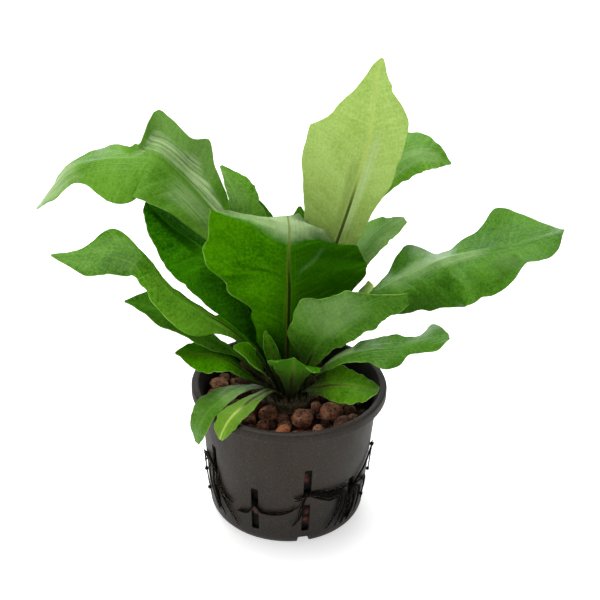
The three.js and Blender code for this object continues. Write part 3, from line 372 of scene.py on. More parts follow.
# Roots that cling to the wall: how far in and out of the wall their stump in the slot
# reaches, its radii, and for each bundle its slot and strands as azimuth and height pairs
ROOT_RADIUS = 1.1
ROOT_GAP = 0.35
ROOT_THROAT = (-11, 1.6)
ROOT_THROAT_RADII = (1.8, 2.1, 1.7)
ROOT_THROAT_SIDES = 12
ROOT_SIDES = 8
HAIR_SIDES = 3
HAIR_RADII = (0.1, 0.08, 0.03)
KNOB_HAIR_RADII = (0.11, 0.09, 0.03)
ROOT_BUNDLES = [
    dict(name="roots_front_right", slot=[284.5, 53], strands=[
        [[291, 53], [299, 51], [306, 50], [313, 50], [318, 53]],
        [[290, 49], [297, 45], [303, 43], [309, 44], [313, 46]],
        [[291, 51], [300, 47], [308, 46], [311, 40], [309, 31], [305, 22], [300, 14]],
        [[292, 51], [303, 48], [312, 46], [315, 38], [313, 26], [308, 14]], [[280, 50], [276, 50]],
        [[282, 45], [281, 33], [276, 23]]]),
    dict(name="roots_right", slot=[320.5, 45], strands=[
        [[319, 39], [320, 31], [317, 22], [313, 14]], [[323, 41], [325, 33], [324, 23], [319, 14]],
        [[326, 43], [331, 37], [331, 27], [327, 17]], [[327, 46], [336, 43], [340, 34], [337, 23]],
        [[327, 51], [338, 58], [347, 65], [352, 62], [353, 52], [350, 42], [355, 37]]]),
    dict(name="roots_left", slot=[212.5, 58], strands=[
        [[216, 52], [217, 42], [223, 33], [230, 22], [236, 14]],
        [[211, 50], [211, 40], [215, 28], [223, 16]], [[206, 54], [204, 42], [208, 30], [216, 17]],
        [[205, 62], [197, 58], [192, 48], [196, 36], [203, 22]],
        [[202, 58], [190, 54], [183, 44], [186, 32]], [[217, 48], [221, 39], [227, 35], [232, 34]]]),
    dict(name="roots_front_left", slot=[248.5, 40], strands=[
        [[253, 34], [259, 33], [266, 34], [273, 37], [279, 42]], [[244, 31], [239, 29], [235, 28]]]),
    dict(name="roots_back", slot=[104.5, 45], strands=[
        [[110, 48], [118, 44], [124, 36], [122, 24]], [[98, 44], [90, 38], [84, 28], [82, 18]],
        [[106, 38], [108, 28], [104, 14]], [[99, 49], [92, 52], [84, 50], [76, 42]]]),
]

# Lumps of tangled root, as azimuth, height and radius
KNOBS = {
    "roots_right": [[351, 64, 1.5], [355, 37, 1.3], [338, 26, 1.2]],
    "roots_left": [[188, 35, 1.4], [197, 24, 1.3], [190, 46, 1.0]],
}
HAIRS_ON_KNOB = 46

# Share of the strands whose hairs are pale
PALE_HAIRS = {"roots_left": 0.4, "roots_right": 0.15}
PALE_HAIR = 0.05
SIDE_STRANDS = 4
STRAND_STEPS = 8
HAIR_DENSITY = 1.2
HAIR_LENGTH = 0.9

# Floor in millimetres, and the studio's strength in front of the plant, behind it and
# low all round
FLOOR_HALF = 12000
FLOOR_DROP = 0.2
FLOOR_WHITE = (250, 250, 250)
FLOOR_GLOW = 0.62
WORLD_FRONT = 0.1
WORLD_BACK = 0.55
WORLD_LOW = 1.0
WORLD_COLOUR = (0.97, 0.98, 1, 1)

# Suns, as name, place, target, spread in degrees, strength and colour
SUNS = [
    ("overhead", (-0.25, 0.35, 1.6), (0, 0, 0.1), 45, 2.6, (1, 1, 0.98)),
    ("back", (-0.1, 1.2, 0.8), (0, 0, 0.2), 50, 1.1, (0.98, 1, 1)),
    ("front_left", (-1, -0.9, 1), (0, 0, 0.15), 60, 0.8, (1, 1, 1)),
]


# Places and curves

def on_circle(azimuth, radius, height):
    angle = math.radians(azimuth)
    return Vector((math.cos(angle) * radius, math.sin(angle) * radius, height))


def wall_radius(height):
    share = (height - FOOT_FILLET) / (POT_HEIGHT - LIP_SKIRT - FOOT_FILLET)
    return WALL_FOOT_RADIUS + (WALL_TOP_RADIUS - WALL_FOOT_RADIUS) * max(share, 0)


def crown_height(radius):
    return CROWN_TOP - CROWN_DROP * radius * radius


def spline(knots, places):
    """Catmull-Rom values at places in 0..1 through evenly spaced knots."""
    knots = np.asarray(knots, float)
    knots = knots.reshape(len(knots), -1)
    spans = len(knots) - 1
    at = np.clip(np.atleast_1d(places), 0, 1) * spans
    span = np.minimum(at.astype(int), spans - 1)
    s = (at - span)[:, None]
    weights = [
        -0.5 * s + s ** 2 - 0.5 * s ** 3,
        1 - 2.5 * s ** 2 + 1.5 * s ** 3,
        0.5 * s + 2 * s ** 2 - 1.5 * s ** 3,
        -0.5 * s ** 2 + 0.5 * s ** 3,
    ]
    picks = [np.clip(span + k, 0, spans) for k in (-1, 0, 1, 2)]
    return sum(knots[pick] * weight for pick, weight in zip(picks, weights))


def unit(vectors):
    length = np.linalg.norm(vectors, axis=-1, keepdims=True)
    return vectors / np.maximum(length, 1e-9)


def ripple_noise(values, seed, scale):
    """Smooth noise from -1 to 1 along a row of values."""
    return np.array([noise.noise(Vector((value * scale, seed * 7.3, 0.5))) for value in values])


def random_vector(chance, low, high):
    return Vector([chance.uniform(low, high) for _ in range(3)])


def random_way(chance):
    return Vector([chance.gauss(0, 1) for _ in range(3)]).normalized()


# Meshes and pieces

def add_item(name, data):
    item = bpy.data.objects.new(name, data)
    bpy.context.scene.collection.objects.link(item)
    return item


def new_mesh(name, points, faces, **attributes):
    """A mesh from points in millimetres, with attributes of three values for each point."""
    mesh = bpy.data.meshes.new(name)
    mesh.from_pydata((np.asarray(points, float) * MM).tolist(), [], faces)
    for key, values in attributes.items():
        made = mesh.attributes.new(key, "FLOAT_VECTOR", "POINT")
        made.data.foreach_set("vector", np.asarray(values, np.float32).ravel())
    return mesh


def add_piece(mesh, node, material, sharp=None):
    """A smooth piece that rides on the frame's root in place of a node of the solids."""
    mesh.polygons.foreach_set("use_smooth", [True] * len(mesh.polygons))
    if sharp:
        mesh.set_sharp_from_angle(angle=math.radians(sharp))
    mesh.update()
    mesh.materials.clear()
    mesh.materials.append(material)
    item = add_item(mesh.name, mesh)
    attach(item, "root")
    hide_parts(node)


def bands(rings, size, base=0, turned=False):
    """Faces between rings of points that follow each other, with their normals turned or not."""
    faces = []
    for near in range(base, base + (rings - 1) * size, size):
        far = near + size
        for j in range(size):
            k = (j + 1) % size
            others = (near + k, far + k, far + j)
            faces.append((near + j,) + (others[::-1] if turned else others))
    return faces


def arc(radius, fillet, floor, steps):
    turns = [math.radians(90 * k / steps) for k in range(steps + 1)]
    return [[radius - fillet + fillet * math.sin(a), floor + fillet * (1 - math.cos(a))] for a in turns]


def lathe(profile, segments):
    """Closed mesh of revolution from radius and height pairs that start and end on the axis."""
    points = [(0, 0, profile[0][1])]
    turns = [2 * math.pi * k / segments for k in range(segments)]
    for radius, height in profile[1:-1]:
        points += [(radius * math.cos(angle), radius * math.sin(angle), height) for angle in turns]
    points.append((0, 0, profile[-1][1]))
    last = len(points) - 1
    top = last - segments
    faces = bands(len(profile) - 2, segments, 1)
    for k in range(segments):
        m = (k + 1) % segments
        faces += [(0, 1 + m, 1 + k), (last, top + k, top + m)]
    return points, faces


def tube(points, radii, sides):
    """A round closed tube through points in millimetres."""
    verts = []
    side = None
    for k, point in enumerate(points):
        before = points[max(k - 1, 0)]
        after = points[min(k + 1, len(points) - 1)]
        along = (after - before).normalized()
        if side is None:
            helper = Vector((0, 0, 1)) if abs(along.z) < 0.9 else Vector((1, 0, 0))
            side = along.cross(helper)
        side = (side - along * side.dot(along)).normalized()
        up = side.cross(along)
        for j in range(sides):
            angle = 2 * math.pi * j / sides
            verts.append(point + side * (radii[k] * math.cos(angle)) + up * (radii[k] * math.sin(angle)))
    last = (len(points) - 1) * sides
    ends = [tuple(range(sides)), tuple(last + j for j in reversed(range(sides)))]
    return verts, bands(len(points), sides, turned=True) + ends


def ball(detail):
    mesh = bmesh.new()
    bmesh.ops.create_icosphere(mesh, subdivisions=detail, radius=1)
    points = [Vector(v.co) for v in mesh.verts]
    faces = [tuple(v.index for v in f.verts) for f in mesh.faces]
    mesh.free()
    return points, faces


class Pile:
    """Meshes gathered into one, each with three values of its own."""

    def __init__(self):
        self.points = []
        self.faces = []
        self.tones = []

    def add(self, points, faces, tone=(0, 0, 0)):
        base = len(self.points)
        self.points += [tuple(p) for p in points]
        self.faces += [tuple(base + k for k in face) for face in faces]
        self.tones += [tone] * len(points)


# Materials

def linear(colour):
    """A linear colour from one as seen, 0 to 255."""
    shares = [c / 255 for c in colour]
    return [s / 12.92 if s <= 0.04045 else ((s + 0.055) / 1.055) ** 2.4 for s in shares] + [1.0]


class Value:
    """A value that is worked out at every point of a surface."""

    def __init__(self, nodes, socket):
        self.nodes = nodes
        self.socket = socket

    def __add__(self, other):
        return self.nodes.math("ADD", self, other)

    def __sub__(self, other):
        return self.nodes.math("SUBTRACT", self, other)

    def __rsub__(self, other):
        return self.nodes.math("SUBTRACT", other, self)

    def __mul__(self, other):
        return self.nodes.math("MULTIPLY", self, other)

    def __abs__(self):
        return self.nodes.math("ABSOLUTE", self)

    def eased(self, low, high, out_low=0.0, out_high=1.0):
        """The value taken from low..high to out_low..out_high, eased and clamped."""
        inputs = dict(enumerate((self, low, high, out_low, out_high)))
        return self.nodes.node("MapRange", inputs, interpolation_type="SMOOTHSTEP")


class Nodes:
    """Short names for the shader nodes of a material or a world, laid over each other in
    layers. A colour of three numbers is one as seen, and one of four is linear."""

    def __init__(self, owner, colour=None):
        owner.use_nodes = True
        self.owner = owner
        self.tree = owner.node_tree
        self.colour = colour
        self.normal = None

    def put(self, socket, value):
        if isinstance(value, Value):
            self.tree.links.new(value.socket, socket)
        elif value is not None:
            as_seen = socket.type == "RGBA" and len(value) == 3
            socket.default_value = linear(value) if as_seen else value

    def fill(self, node, inputs):
        for key, value in inputs.items():
            self.put(node.inputs[key], value)

    def node(self, kind, inputs, output=0, **settings):
        """What a new node gives, with its inputs by name or number."""
        made = self.tree.nodes.new("ShaderNode" + kind)
        for key, value in settings.items():
            setattr(made, key, value)
        self.fill(made, inputs)
        return Value(self, made.outputs[output])

    def axes(self, vector):
        parts = self.node("SeparateXYZ", {0: vector}).socket.node
        return [Value(self, part) for part in parts.outputs]

    def attribute(self, name):
        return self.axes(self.node("Attribute", {}, "Vector", attribute_name=name))

    def place(self, output="Object"):
        return self.node("TexCoord", {}, output)

    def math(self, operation, *values):
        return self.node("Math", dict(enumerate(values)), operation=operation)

    def vector_math(self, operation, *values):
        return self.node("VectorMath", dict(enumerate(values)), "Value", operation=operation)

    def noise(self, scale, detail=3, roughness=0.5, vector=None):
        inputs = {"Scale": scale, "Detail": detail, "Roughness": roughness}
        return self.node("TexNoise", inputs | {"Vector": vector or self.place()})

    def cells(self, scale):
        return self.node("TexVoronoi", {"Scale": scale, "Vector": self.place()})

    def stretched(self, *scale):
        return self.node("Mapping", {"Vector": self.place(), "Scale": scale})

    def join(self, *values):
        return self.node("CombineXYZ", dict(enumerate(values)))

    def mix(self, share, first, second):
        return self.node("Mix", {0: share, 6: first, 7: second}, 2, data_type="RGBA")

    def lay(self, share, colour):
        """Lay a share of a colour over the layers so far."""
        self.colour = self.mix(share, self.colour, colour)

    def bump(self, height, distance, strength):
        """Add relief to the relief so far."""
        inputs = {"Strength": strength, "Distance": distance, "Height": height, "Normal": self.normal}
        self.normal = self.node("Bump", inputs)

    def finish(self, roughness, gloss, **constants):
        shader = self.tree.nodes["Principled BSDF"]
        inputs = {"Base Color": self.colour, "Roughness": roughness, "Normal": self.normal}
        inputs["Specular IOR Level"] = gloss
        self.fill(shader, inputs)
        self.fill(shader, {name.replace("_", " "): value for name, value in constants.items()})
        return self.owner


def painted(name, colour):
    return Nodes(bpy.data.materials.new(name), colour)


# Fronds

def spine_knots(frond):
    azimuth, radius, _ = frond["base"]
    top = crown_height(radius)
    inside = on_circle(azimuth, radius * STALK_LEAN_IN, top - STALK_SINK)
    outside = on_circle(azimuth, radius, top + 1)
    return np.array([inside, outside] + [Vector(p) for p in frond["path"]])


def spine_frames(knots, heading, places):
    """Side and up vectors along the spine, carried on from the crown without twist."""
    steps = np.linspace(0, 1, FRAME_STEPS + 1)
    tangents = unit(spline(knots, steps + TANGENT_STEP) - spline(knots, steps - TANGENT_STEP))
    angle = math.radians(heading)
    side = np.array([-math.sin(angle), math.cos(angle), 0.0])
    sides = []
    for tangent in tangents:
        side = unit(side - tangent * side.dot(tangent))
        sides.append(side)
    sides = np.array(sides)
    ups = np.cross(tangents, sides)
    at = places * FRAME_STEPS
    near = np.minimum(at.astype(int), FRAME_STEPS - 1)
    mix = (at - near)[:, None]
    return [unit(ways[near] * (1 - mix) + ways[near + 1] * mix) for ways in (sides, ups)]


def column_stops(half_width, columns):
    """Shares of the half width for one row: close together at the midrib and the rim."""
    rib = min(MIDRIB_WIDEST_SHARE, MIDRIB_HALF_WIDTH / half_width)
    inner = [rib * share for share in RIB_COLUMNS]
    outer = [rib + (1 - rib) * (k + 1) / columns for k in range(columns - 1)]
    return inner + outer + [1 - RIM_COLUMN * (1 - rib) / columns, 1.0]


def station_values(frond, hand, what=""):
    return frond.get(hand + what, frond.get("both" + what, [0] * len(frond["path"])))


def spread(frond, hand, what, places, in_crown=0):
    """Values of one half along a frond, with those of the stretch in the crown before them."""
    values = station_values(frond, hand, what)
    per_station = round((len(values) - 1) / (len(frond["path"]) - 1))
    return spline([in_crown] * (2 * per_station) + values, places)[:, 0]


def half_blade(frond, hand, places, seed):
    """One half along the frond: width, lift and fold in radians, and long and short waves."""
    sign = 1 if hand == "left" else -1
    width = np.maximum(spread(frond, hand, "", places, STALK_HALF_WIDTH), 0.5)
    fullness = np.minimum(width / FULL_WIDTH, 1)
    for height, shift, scale in OUTLINE_RIPPLES:
        width = width + fullness * height * ripple_noise(places, seed + sign + shift, scale)
    lift = np.radians(spread(frond, hand, "_lift", places))
    fold = np.radians(spread(frond, hand, "_fold", places))
    amplitude, count, phase = frond["waves"]
    swing = np.sin(2 * math.pi * count * places + phase + (0 if sign > 0 else RIGHT_WAVE_PHASE))
    short = RISEN_RIPPLE * ripple_noise(places, seed + sign + 80, 22)
    return width, lift, fold, amplitude * fullness * swing, fullness * short


def bend(reach):
    return np.logaddexp(0, (reach - FOLD_REACH) / FOLD_SOFTNESS)


def raised_half(half, reach):
    """How far out and how high one half lies at shares of its width."""
    width, lift, fold, long, short = half
    angle = lift * (0.6 + 0.4 * reach)
    folded = angle + fold
    outer = bend(reach) * (1 - FOLD_REACH) / bend(1)
    inner = reach - outer
    wave = long * reach ** 1.6 + short * reach ** 3
    outward = width * (inner * np.cos(angle) + outer * np.cos(folded)) - wave * np.sin(angle)
    raised = width * (inner * np.sin(angle) + outer * np.sin(folded)) + wave * np.cos(angle)
    return outward, raised


def frond_grid(frond, seed, places, columns):
    """The blade's middle surface: points, shares of the half width and offsets from the rib."""
    knots = spine_knots(frond)
    centre = spline(knots, places)
    across, up = spine_frames(knots, frond["base"][2], places)
    left, right = [half_blade(frond, hand, places, seed) for hand in ("left", "right")]
    mean = (left[0] + right[0]) / 2
    stops = np.array([column_stops(max(w, 0.6), columns) for w in mean])
    reach = np.concatenate([stops[:, ::-1], np.zeros((len(places), 1)), stops], axis=1)
    points = np.zeros(reach.shape + (3,))
    offset = np.zeros(reach.shape)
    for j in range(reach.shape[1]):
        half, sign = (right, -1) if j < stops.shape[1] else (left, 1)
        outward, raised = raised_half(half, reach[:, j])
        points[:, j] = centre + across * (sign * outward)[:, None] + up * raised[:, None]
        offset[:, j] = sign * half[0] * reach[:, j]
    return points, reach, offset


def buckles(run, offset, seed):
    """Soft buckling of a blade along its side veins, from -1 to 1."""
    lift = np.zeros_like(offset)
    for i, j in np.ndindex(*offset.shape):
        reach = abs(offset[i, j])
        along = (run[i] - VEIN_SLANT * reach) / BUCKLE_LENGTH
        here = Vector((along, offset[i, j] / BUCKLE_BREADTH, seed * 5.1))
        lift[i, j] = (noise.noise(here) + 0.4 * noise.noise(here * 2.4)) * min(reach / 6, 1)
    return lift


def facing(points):
    """Normals of a grid of points, and the ways across it."""
    outward = unit(np.gradient(points, axis=1))
    return unit(np.cross(unit(np.gradient(points, axis=0)), outward)), outward


def around(values):
    """Values across a blade, carried round its upper side, left rim, underside and right rim."""
    return np.concatenate([values, values[:, -1:], values[:, ::-1], values[:, :1]], axis=1)


def blade_thickness(along, reach, offset):
    widest = np.maximum(np.abs(offset).max(axis=1), 1)
    rib_share = np.minimum(MIDRIB_WIDEST_SHARE, MIDRIB_HALF_WIDTH / widest)[:, None]
    middle = STALK_THICKNESS + (MIDRIB_TIP_THICKNESS - STALK_THICKNESS) * np.minimum(along * 1.6, 1)
    edge = STALK_EDGE_THICKNESS + (BLADE_THICKNESS - STALK_EDGE_THICKNESS) * np.minimum(along * 4, 1)
    return middle + (edge - middle) * np.minimum(reach / rib_share, 1)


def frond_faces(rows, size, count):
    """Bands round the blade, and strips that close its two ends."""
    faces = bands(rows + 1, size, turned=True)
    for base, flip in ((0, False), (rows * size, True)):
        ends = []
        for j in range(count - 1):
            low = size - 2 - j
            ends.append((base + j, base + j + 1, base + low - 1, base + low))
        ends.append((base + count - 1, base + count, base + count + 1))
        ends.append((base + size - 2, base + size - 1, base))
        faces += [end[::-1] if flip else end for end in ends]
    return faces


def frond_mesh(frond, seed, rows, columns):
    """A closed blade with a groove along the stalk. Its attributes hold the way along, the
    offset and the upper side; then the share of the length and of the half width, and the
    distance to the margin."""
    places = np.linspace(0, 1, rows + 1)
    points, reach, offset = frond_grid(frond, seed, places, columns)
    count = points.shape[1]
    steps = np.linalg.norm(np.diff(points[:, count // 2], axis=0), axis=1)
    run = np.concatenate([[0], np.cumsum(steps)])
    points = points + facing(points)[0] * (BUCKLE_HEIGHT * buckles(run, offset, seed))[:, :, None]
    normal, outward = facing(points)
    along = places[:, None]
    thick = blade_thickness(along, reach, offset)
    groove = GROOVE_DEPTH * np.exp(-(offset / GROOVE_HALF_WIDTH) ** 2) * (1 - along)
    upper = points + normal * (thick / 2 - groove)[:, :, None]
    lower = points - normal * (thick / 2)[:, :, None]
    rim = BLADE_THICKNESS * RIM_SWELL
    left_rim = points[:, -1:] + outward[:, -1:] * rim
    right_rim = points[:, :1] - outward[:, :1] * rim
    ring = np.concatenate([upper, left_rim, lower[:, ::-1], right_rim], axis=1)
    size = ring.shape[1]
    shares = around(reach)
    margins = np.abs(around(offset)) * (1 / np.maximum(shares, 0.01) - 1)
    margins[shares < 0.01] = np.abs(offset).max()
    sides = np.tile([1.0] * count + [0.5] + [0.0] * count + [0.5], (rows + 1, 1))
    length = np.repeat(run[:, None], size, axis=1)
    portion = np.repeat(along, size, axis=1)
    blade = np.stack([length, around(offset), sides], axis=2)
    share = np.stack([portion, shares, margins], axis=2)
    faces = frond_faces(rows, size, count)
    return new_mesh("leaf_" + frond["name"], ring.reshape(-1, 3), faces, blade=blade, share=share)


class Leaf(Nodes):
    """Leaf of one colouring: mottled green, faint side veins and pleats beside the midrib."""

    def __init__(self, kind, seed, number):
        super().__init__(bpy.data.materials.new("leaf_" + kind + "_" + str(seed)))
        self.kind = kind
        self.number = number
        tint = TINTS_AND_LIGHTING.get(number, (1, 1, 1))
        tinted_and_lit = [[c * s for c, s in zip(linear(colour), tint)] + [1] for colour in LEAF_COLOURS[kind]]
        self.shade, self.lit, self.under = tinted_and_lit
        # A darker green laid on as painted shade
        self.deeper = [c * 0.45 for c in self.shade[:3]] + [1]
        self.pale = [min(c * 1.35 + 0.01, 1) for c in self.lit[:3]] + [1]
        self.run, self.offset, self.side = self.attribute("blade")
        self.portion, self.share, self.margin = self.attribute("share")
        self.reach = abs(self.offset)
        self.mottle = self.noise(70, 4, 0.65)
        self.grain = self.noise(500, 3, 0.75)
        self.broad = self.noise(18 + seed % 3, 2)
        slanted = self.run - self.reach * VEIN_SLANT
        self.veins = self.math("SINE", slanted * 3.9 + self.noise(40) * 3.4)
        self.streak = self.noise(1, 4, 0.65, self.join(slanted * 0.4, self.reach * 0.03, self.side))
        self.pleat = self.noise(1, 3, 0.6, self.join(self.run * 0.02, self.offset * 0.5, seed))
        self.pleated = self.pleat.eased(0.5, 0.7) * self.reach.eased(18, 3)

    def lay_green(self):
        """Mottling, painted shade at the right and towards the crown, veins, streaks and underside."""
        tone = self.mottle * MOTTLE_PART + self.broad * BROAD_PART
        tone = tone + self.streak * STREAK_PART + self.grain * GRAIN_PART
        self.colour = self.shade
        self.lay(tone.eased(0.48, 0.82), self.lit)
        self.lay(self.offset.eased(30, -14, 0.0, RIGHT_SHADES.get(self.number, RIGHT_SHADE)), self.deeper)
        low_end, low_share = LOW_SHADES.get(self.kind, LOW_SHADE)
        self.lay(self.portion.eased(low_end, 0.3, 0.0, low_share), self.deeper)
        self.lay(self.veins.eased(0.1, 1.0) * 0.05, self.pale)
        self.lay(self.streak.eased(0.52, 0.75, 0.0, STREAKS.get(self.kind, STREAK)), self.pale)
        self.lay(self.pleated * PLEATS.get(self.kind, PLEAT), self.pale)
        self.lay(self.side.eased(0.55, 0.2, 0.0, 0.85), self.under)

    def lay_zones(self):
        """Zones of painted highlight and painted shade with ragged ends, broken up by fine lines and
        mottling.
        """
        signed = self.share * self.math("SIGN", self.offset)
        ragged = self.portion + (self.mottle - 0.5) * 0.06
        for low, high, soft, middle, half, slant, strength, lined in ZONES.get(self.number, []):
            along = ragged - self.math("MINIMUM", self.share, 0.5) * slant
            zone = along.eased(low, low + soft) * along.eased(high, high - soft)
            zone = zone * abs(signed - middle).eased(half, half * 0.4, 0.0, abs(strength))
            lines = self.pleat.eased(0.38, 0.6, 1 - lined, 1.0)
            patches = self.mottle.eased(0.3, 0.6, 0.7, 1.0)
            # Painted highlight where the strength is positive, painted shade where it is negative
            self.lay(zone * (lines * patches), PAINTED_SHEEN if strength > 0 else self.deeper)

    def lay_margin(self):
        """A thin broken line along the margin, dark low on the frond and pale beyond; the dark part is
        partly the stalk's own dark edge and partly a painted shadow line where fronds overlap.
        """
        broken = self.noise(90, 2).eased(0.35, 0.65, 0.1, 0.5)
        rim = self.mix(self.portion.eased(0.4, 0.5), DARK_MARGIN, PALE_MARGIN)
        self.lay(self.margin.eased(0.55, 0.15) * broken, rim)

    def lay_midrib(self):
        """A midrib that is dark low on the frond, with a painted lit edge on its left side, and pale
        beyond, and narrows to the tip.
        """
        dark_until, pale_from, pale_share, breadth = RIBS[self.kind]
        self.lay(self.reach.eased(3.6, 0.9, 0.0, 0.1), self.pale)
        width = (1.15 - self.portion * 0.75) * breadth
        rib = self.reach.eased(width + 0.25, width - 0.2)
        # The dark part's left edge is painted lit
        dark_rib = self.mix(self.offset.eased(0.5, 0.9), DARK_RIB, RIB_LIT_EDGE)
        dark_part = self.portion.eased(pale_from, dark_until)
        colour = self.mix(dark_part, PALE_RIBS.get(self.kind, PALE_RIB), dark_rib)
        self.lay(rib * (dark_part * (0.85 - pale_share) + pale_share), colour)

    def lay_stalk(self):
        stalk = (self.run + (self.mottle + self.streak) * 14).eased(72, 34)
        self.lay(stalk * 0.85, STALK_BROWN)

    def raise_veins(self):
        self.bump(self.veins, 0.00006, 0.5)
        self.bump(self.pleated, 0.0007, 0.6)
        self.bump(self.noise(150, 4, 0.6), 0.0009, 0.4)
        self.bump(self.grain, 0.00016, 0.5)


def leaf_material(kind, seed, number):
    leaf = Leaf(kind, seed, number)
    leaf.lay_green()
    leaf.lay_zones()
    leaf.lay_margin()
    leaf.lay_midrib()
    leaf.lay_stalk()
    leaf.raise_veins()
    rough = leaf.mottle.eased(0.3, 0.7, 0.3, 0.46) + leaf.side.eased(0.55, 0.2, 0.0, 0.3)
    return leaf.finish(rough, 0.0 if number in MATTE else LEAF_GLOSS, Specular_Tint=LEAF_GLOSS_TINT)


def build_fronds():
    for k, frond in enumerate(FRONDS):
        widest = max(station_values(frond, "left") + station_values(frond, "right"))
        mesh = frond_mesh(frond, k * 3 + 1, *(BROAD_GRID if widest > BROAD_WIDTH else SLIM_GRID))
        material = leaf_material(frond["colour"], k, frond["name"][:2])
        add_piece(mesh, "frond_" + frond["name"], material)


# Pot

def pot_profile():
    top = POT_HEIGHT
    skirt = top - LIP_SKIRT
    lip = LIP_OUTER_RADIUS
    wall = [[wall_radius(h), h] for h in range(20, skirt, 10)]
    outer = [[0, 0]] + arc(WALL_FOOT_RADIUS, FOOT_FILLET, 0, 8) + wall
    outer += [[WALL_TOP_RADIUS, skirt + 1], [WALL_TOP_RADIUS + 1, skirt + 2], [lip - 2.6, skirt + 2]]
    outer += [[lip - 1.8, skirt + 1.4], [lip - 1.6, skirt + 0.3], [lip - 1.3, skirt], [lip - 0.3, skirt]]
    outer += [[lip, skirt + 0.4], [lip, top - 1.6], [lip - 0.5, top - 0.5], [lip - 1.6, top]]
    inner = [[MOUTH_RADIUS + 0.6, top], [MOUTH_RADIUS - 0.4, top - 0.6], [MOUTH_RADIUS - 1, top - 2]]
    inner += [[WALL_TOP_RADIUS - WALL_THICKNESS, top - 5]]
    floor = arc(WALL_FOOT_RADIUS - WALL_THICKNESS, FOOT_FILLET - WALL_THICKNESS, WALL_THICKNESS, 6)
    return outer + inner + floor[::-1] + [[0, WALL_THICKNESS]]


def rounded_outline(width, height):
    outline = []
    for corner, (sy, sz) in enumerate(((1, 1), (-1, 1), (-1, -1), (1, -1))):
        for step in range(5):
            a = math.radians(90 * corner + 22.5 * step)
            y = sy * (width / 2 - SLOT_ROUNDING) + SLOT_ROUNDING * math.cos(a)
            outline.append((y, sz * (height / 2 - SLOT_ROUNDING) + SLOT_ROUNDING * math.sin(a)))
    return outline


def slot_cutter():
    """One mesh with a round-cornered block for each slot, and one for the notch in the foot."""
    blocks = []
    for k in range(SLOT_COLUMNS):
        azimuth = FRONT_AZIMUTH + 360 * k / SLOT_COLUMNS
        blocks += [(azimuth, SLOT_WIDTH, low, high, SLOT_DEPTH) for low, high in SLOT_LEVELS[k % 2]]
    blocks.append((FRONT_AZIMUTH, NOTCH_WIDTH, -6, NOTCH_HEIGHT, WALL_FOOT_RADIUS - 1 - NOTCH_INNER_RADIUS))
    pile = Pile()
    for azimuth, width, low, high, depth in blocks:
        centre = on_circle(azimuth, wall_radius(low) - 1, (low + high) / 2)
        turn = Matrix.Rotation(math.radians(azimuth), 3, "Z")
        outline = rounded_outline(width, high - low)
        count = len(outline)
        points = [centre + turn @ Vector((x, y, z)) for x in (-depth, depth) for y, z in outline]
        ends = [tuple(reversed(range(count))), tuple(range(count, 2 * count))]
        pile.add(points, ends + bands(2, count))
    return pile.points, pile.faces


def notch_cover():
    """The box inside the pot that closes the notch off from the bed."""
    outer = WALL_FOOT_RADIUS - 0.6
    inner = NOTCH_INNER_RADIUS - WALL_THICKNESS
    half = NOTCH_WIDTH / 2 + WALL_THICKNESS
    top = NOTCH_HEIGHT + WALL_THICKNESS
    turn = Matrix.Rotation(math.radians(FRONT_AZIMUTH), 3, "Z")
    outline = [(inner, 0.6), (outer - FOOT_FILLET, 0.6), (outer - 3.5, 3.8), (outer - 0.8, 8)]
    outline += [(outer - 0.4, top), (inner, top)]
    points = [turn @ Vector((x, y, z)) for y in (-half, half) for x, z in outline]
    count = len(outline)
    ends = [tuple(range(count)), tuple(reversed(range(count, 2 * count)))]
    return points, ends + bands(2, count, turned=True)


def shaped_mesh(body, changes):
    """The body's mesh after each object has been joined to it or cut from it."""
    for kind, tool in changes:
        change = body.modifiers.new("shape", "BOOLEAN")
        change.operation = kind
        change.solver = "EXACT"
        change.object = tool
    bpy.context.view_layer.update()
    ready = body.evaluated_get(bpy.context.evaluated_depsgraph_get())
    mesh = bpy.data.meshes.new_from_object(ready)
    for item in [body] + [tool for _, tool in changes]:
        bpy.data.objects.remove(item, do_unlink=True)
    return mesh


def pot_material():
    """Dark grainy plastic: painted shade low down, darker at the lower right, specked, and painted shade
    inside.
    """
    n = painted("pot_plastic", (23, 18, 12))
    x, y, z = n.axes(n.place())
    cloud = n.noise(22, 4, 0.6)
    tone = cloud * 0.6 + n.noise(1, 4, 0.6, n.stretched(40, 40, 9)) * 0.5
    n.lay(tone.eased(0.35, 0.8), (46, 37, 28))
    # Painted shade, darker towards the foot
    foot_shade_edge = z + n.noise(30, 3, 0.6) * 0.03
    n.lay(foot_shade_edge.eased(0.056, 0.04) * 0.65, (26, 22, 18))
    # Darker at the lower right, behind the roots
    n.lay(x.eased(0.012, 0.04) * foot_shade_edge.eased(0.072, 0.05) * 0.6, (20, 19, 16))
    n.lay(n.noise(330, 2, 0.7).eased(0.66, 0.74) * 0.6, (26, 20, 16))
    fine = n.noise(900, 4, 0.8)
    n.lay(fine.eased(0.5, 0.7, 0.0, 0.42), (88, 74, 58))
    n.lay(fine.eased(0.5, 0.3, 0.0, 0.6), (18, 14, 10))
    uneven = n.noise(500, 2, 0.6) * 0.0012
    for azimuth, height, size in POT_SPECKS:
        spot = tuple(on_circle(azimuth, wall_radius(height), height) * MM)
        rim = n.vector_math("DISTANCE", n.place(), spot) + uneven
        n.lay(rim.eased(size * MM + 0.0009, size * MM + 0.0004, 0.0, 0.8), (20, 14, 11))
    # Painted shade on the inside of the wall
    outward = n.vector_math("DOT_PRODUCT", n.place("Normal"), n.join(x, y, 0.0))
    n.lay(outward.eased(-0.02, -0.05, 0.0, 0.9), (20, 15, 17))
    n.bump(n.noise(700, 3, 0.6), 0.00008, 0.5)
    n.bump(n.noise(60, 2), 0.0004, 0.25)
    return n.finish(cloud.eased(0.3, 0.7, 0.52, 0.7), 0.26)


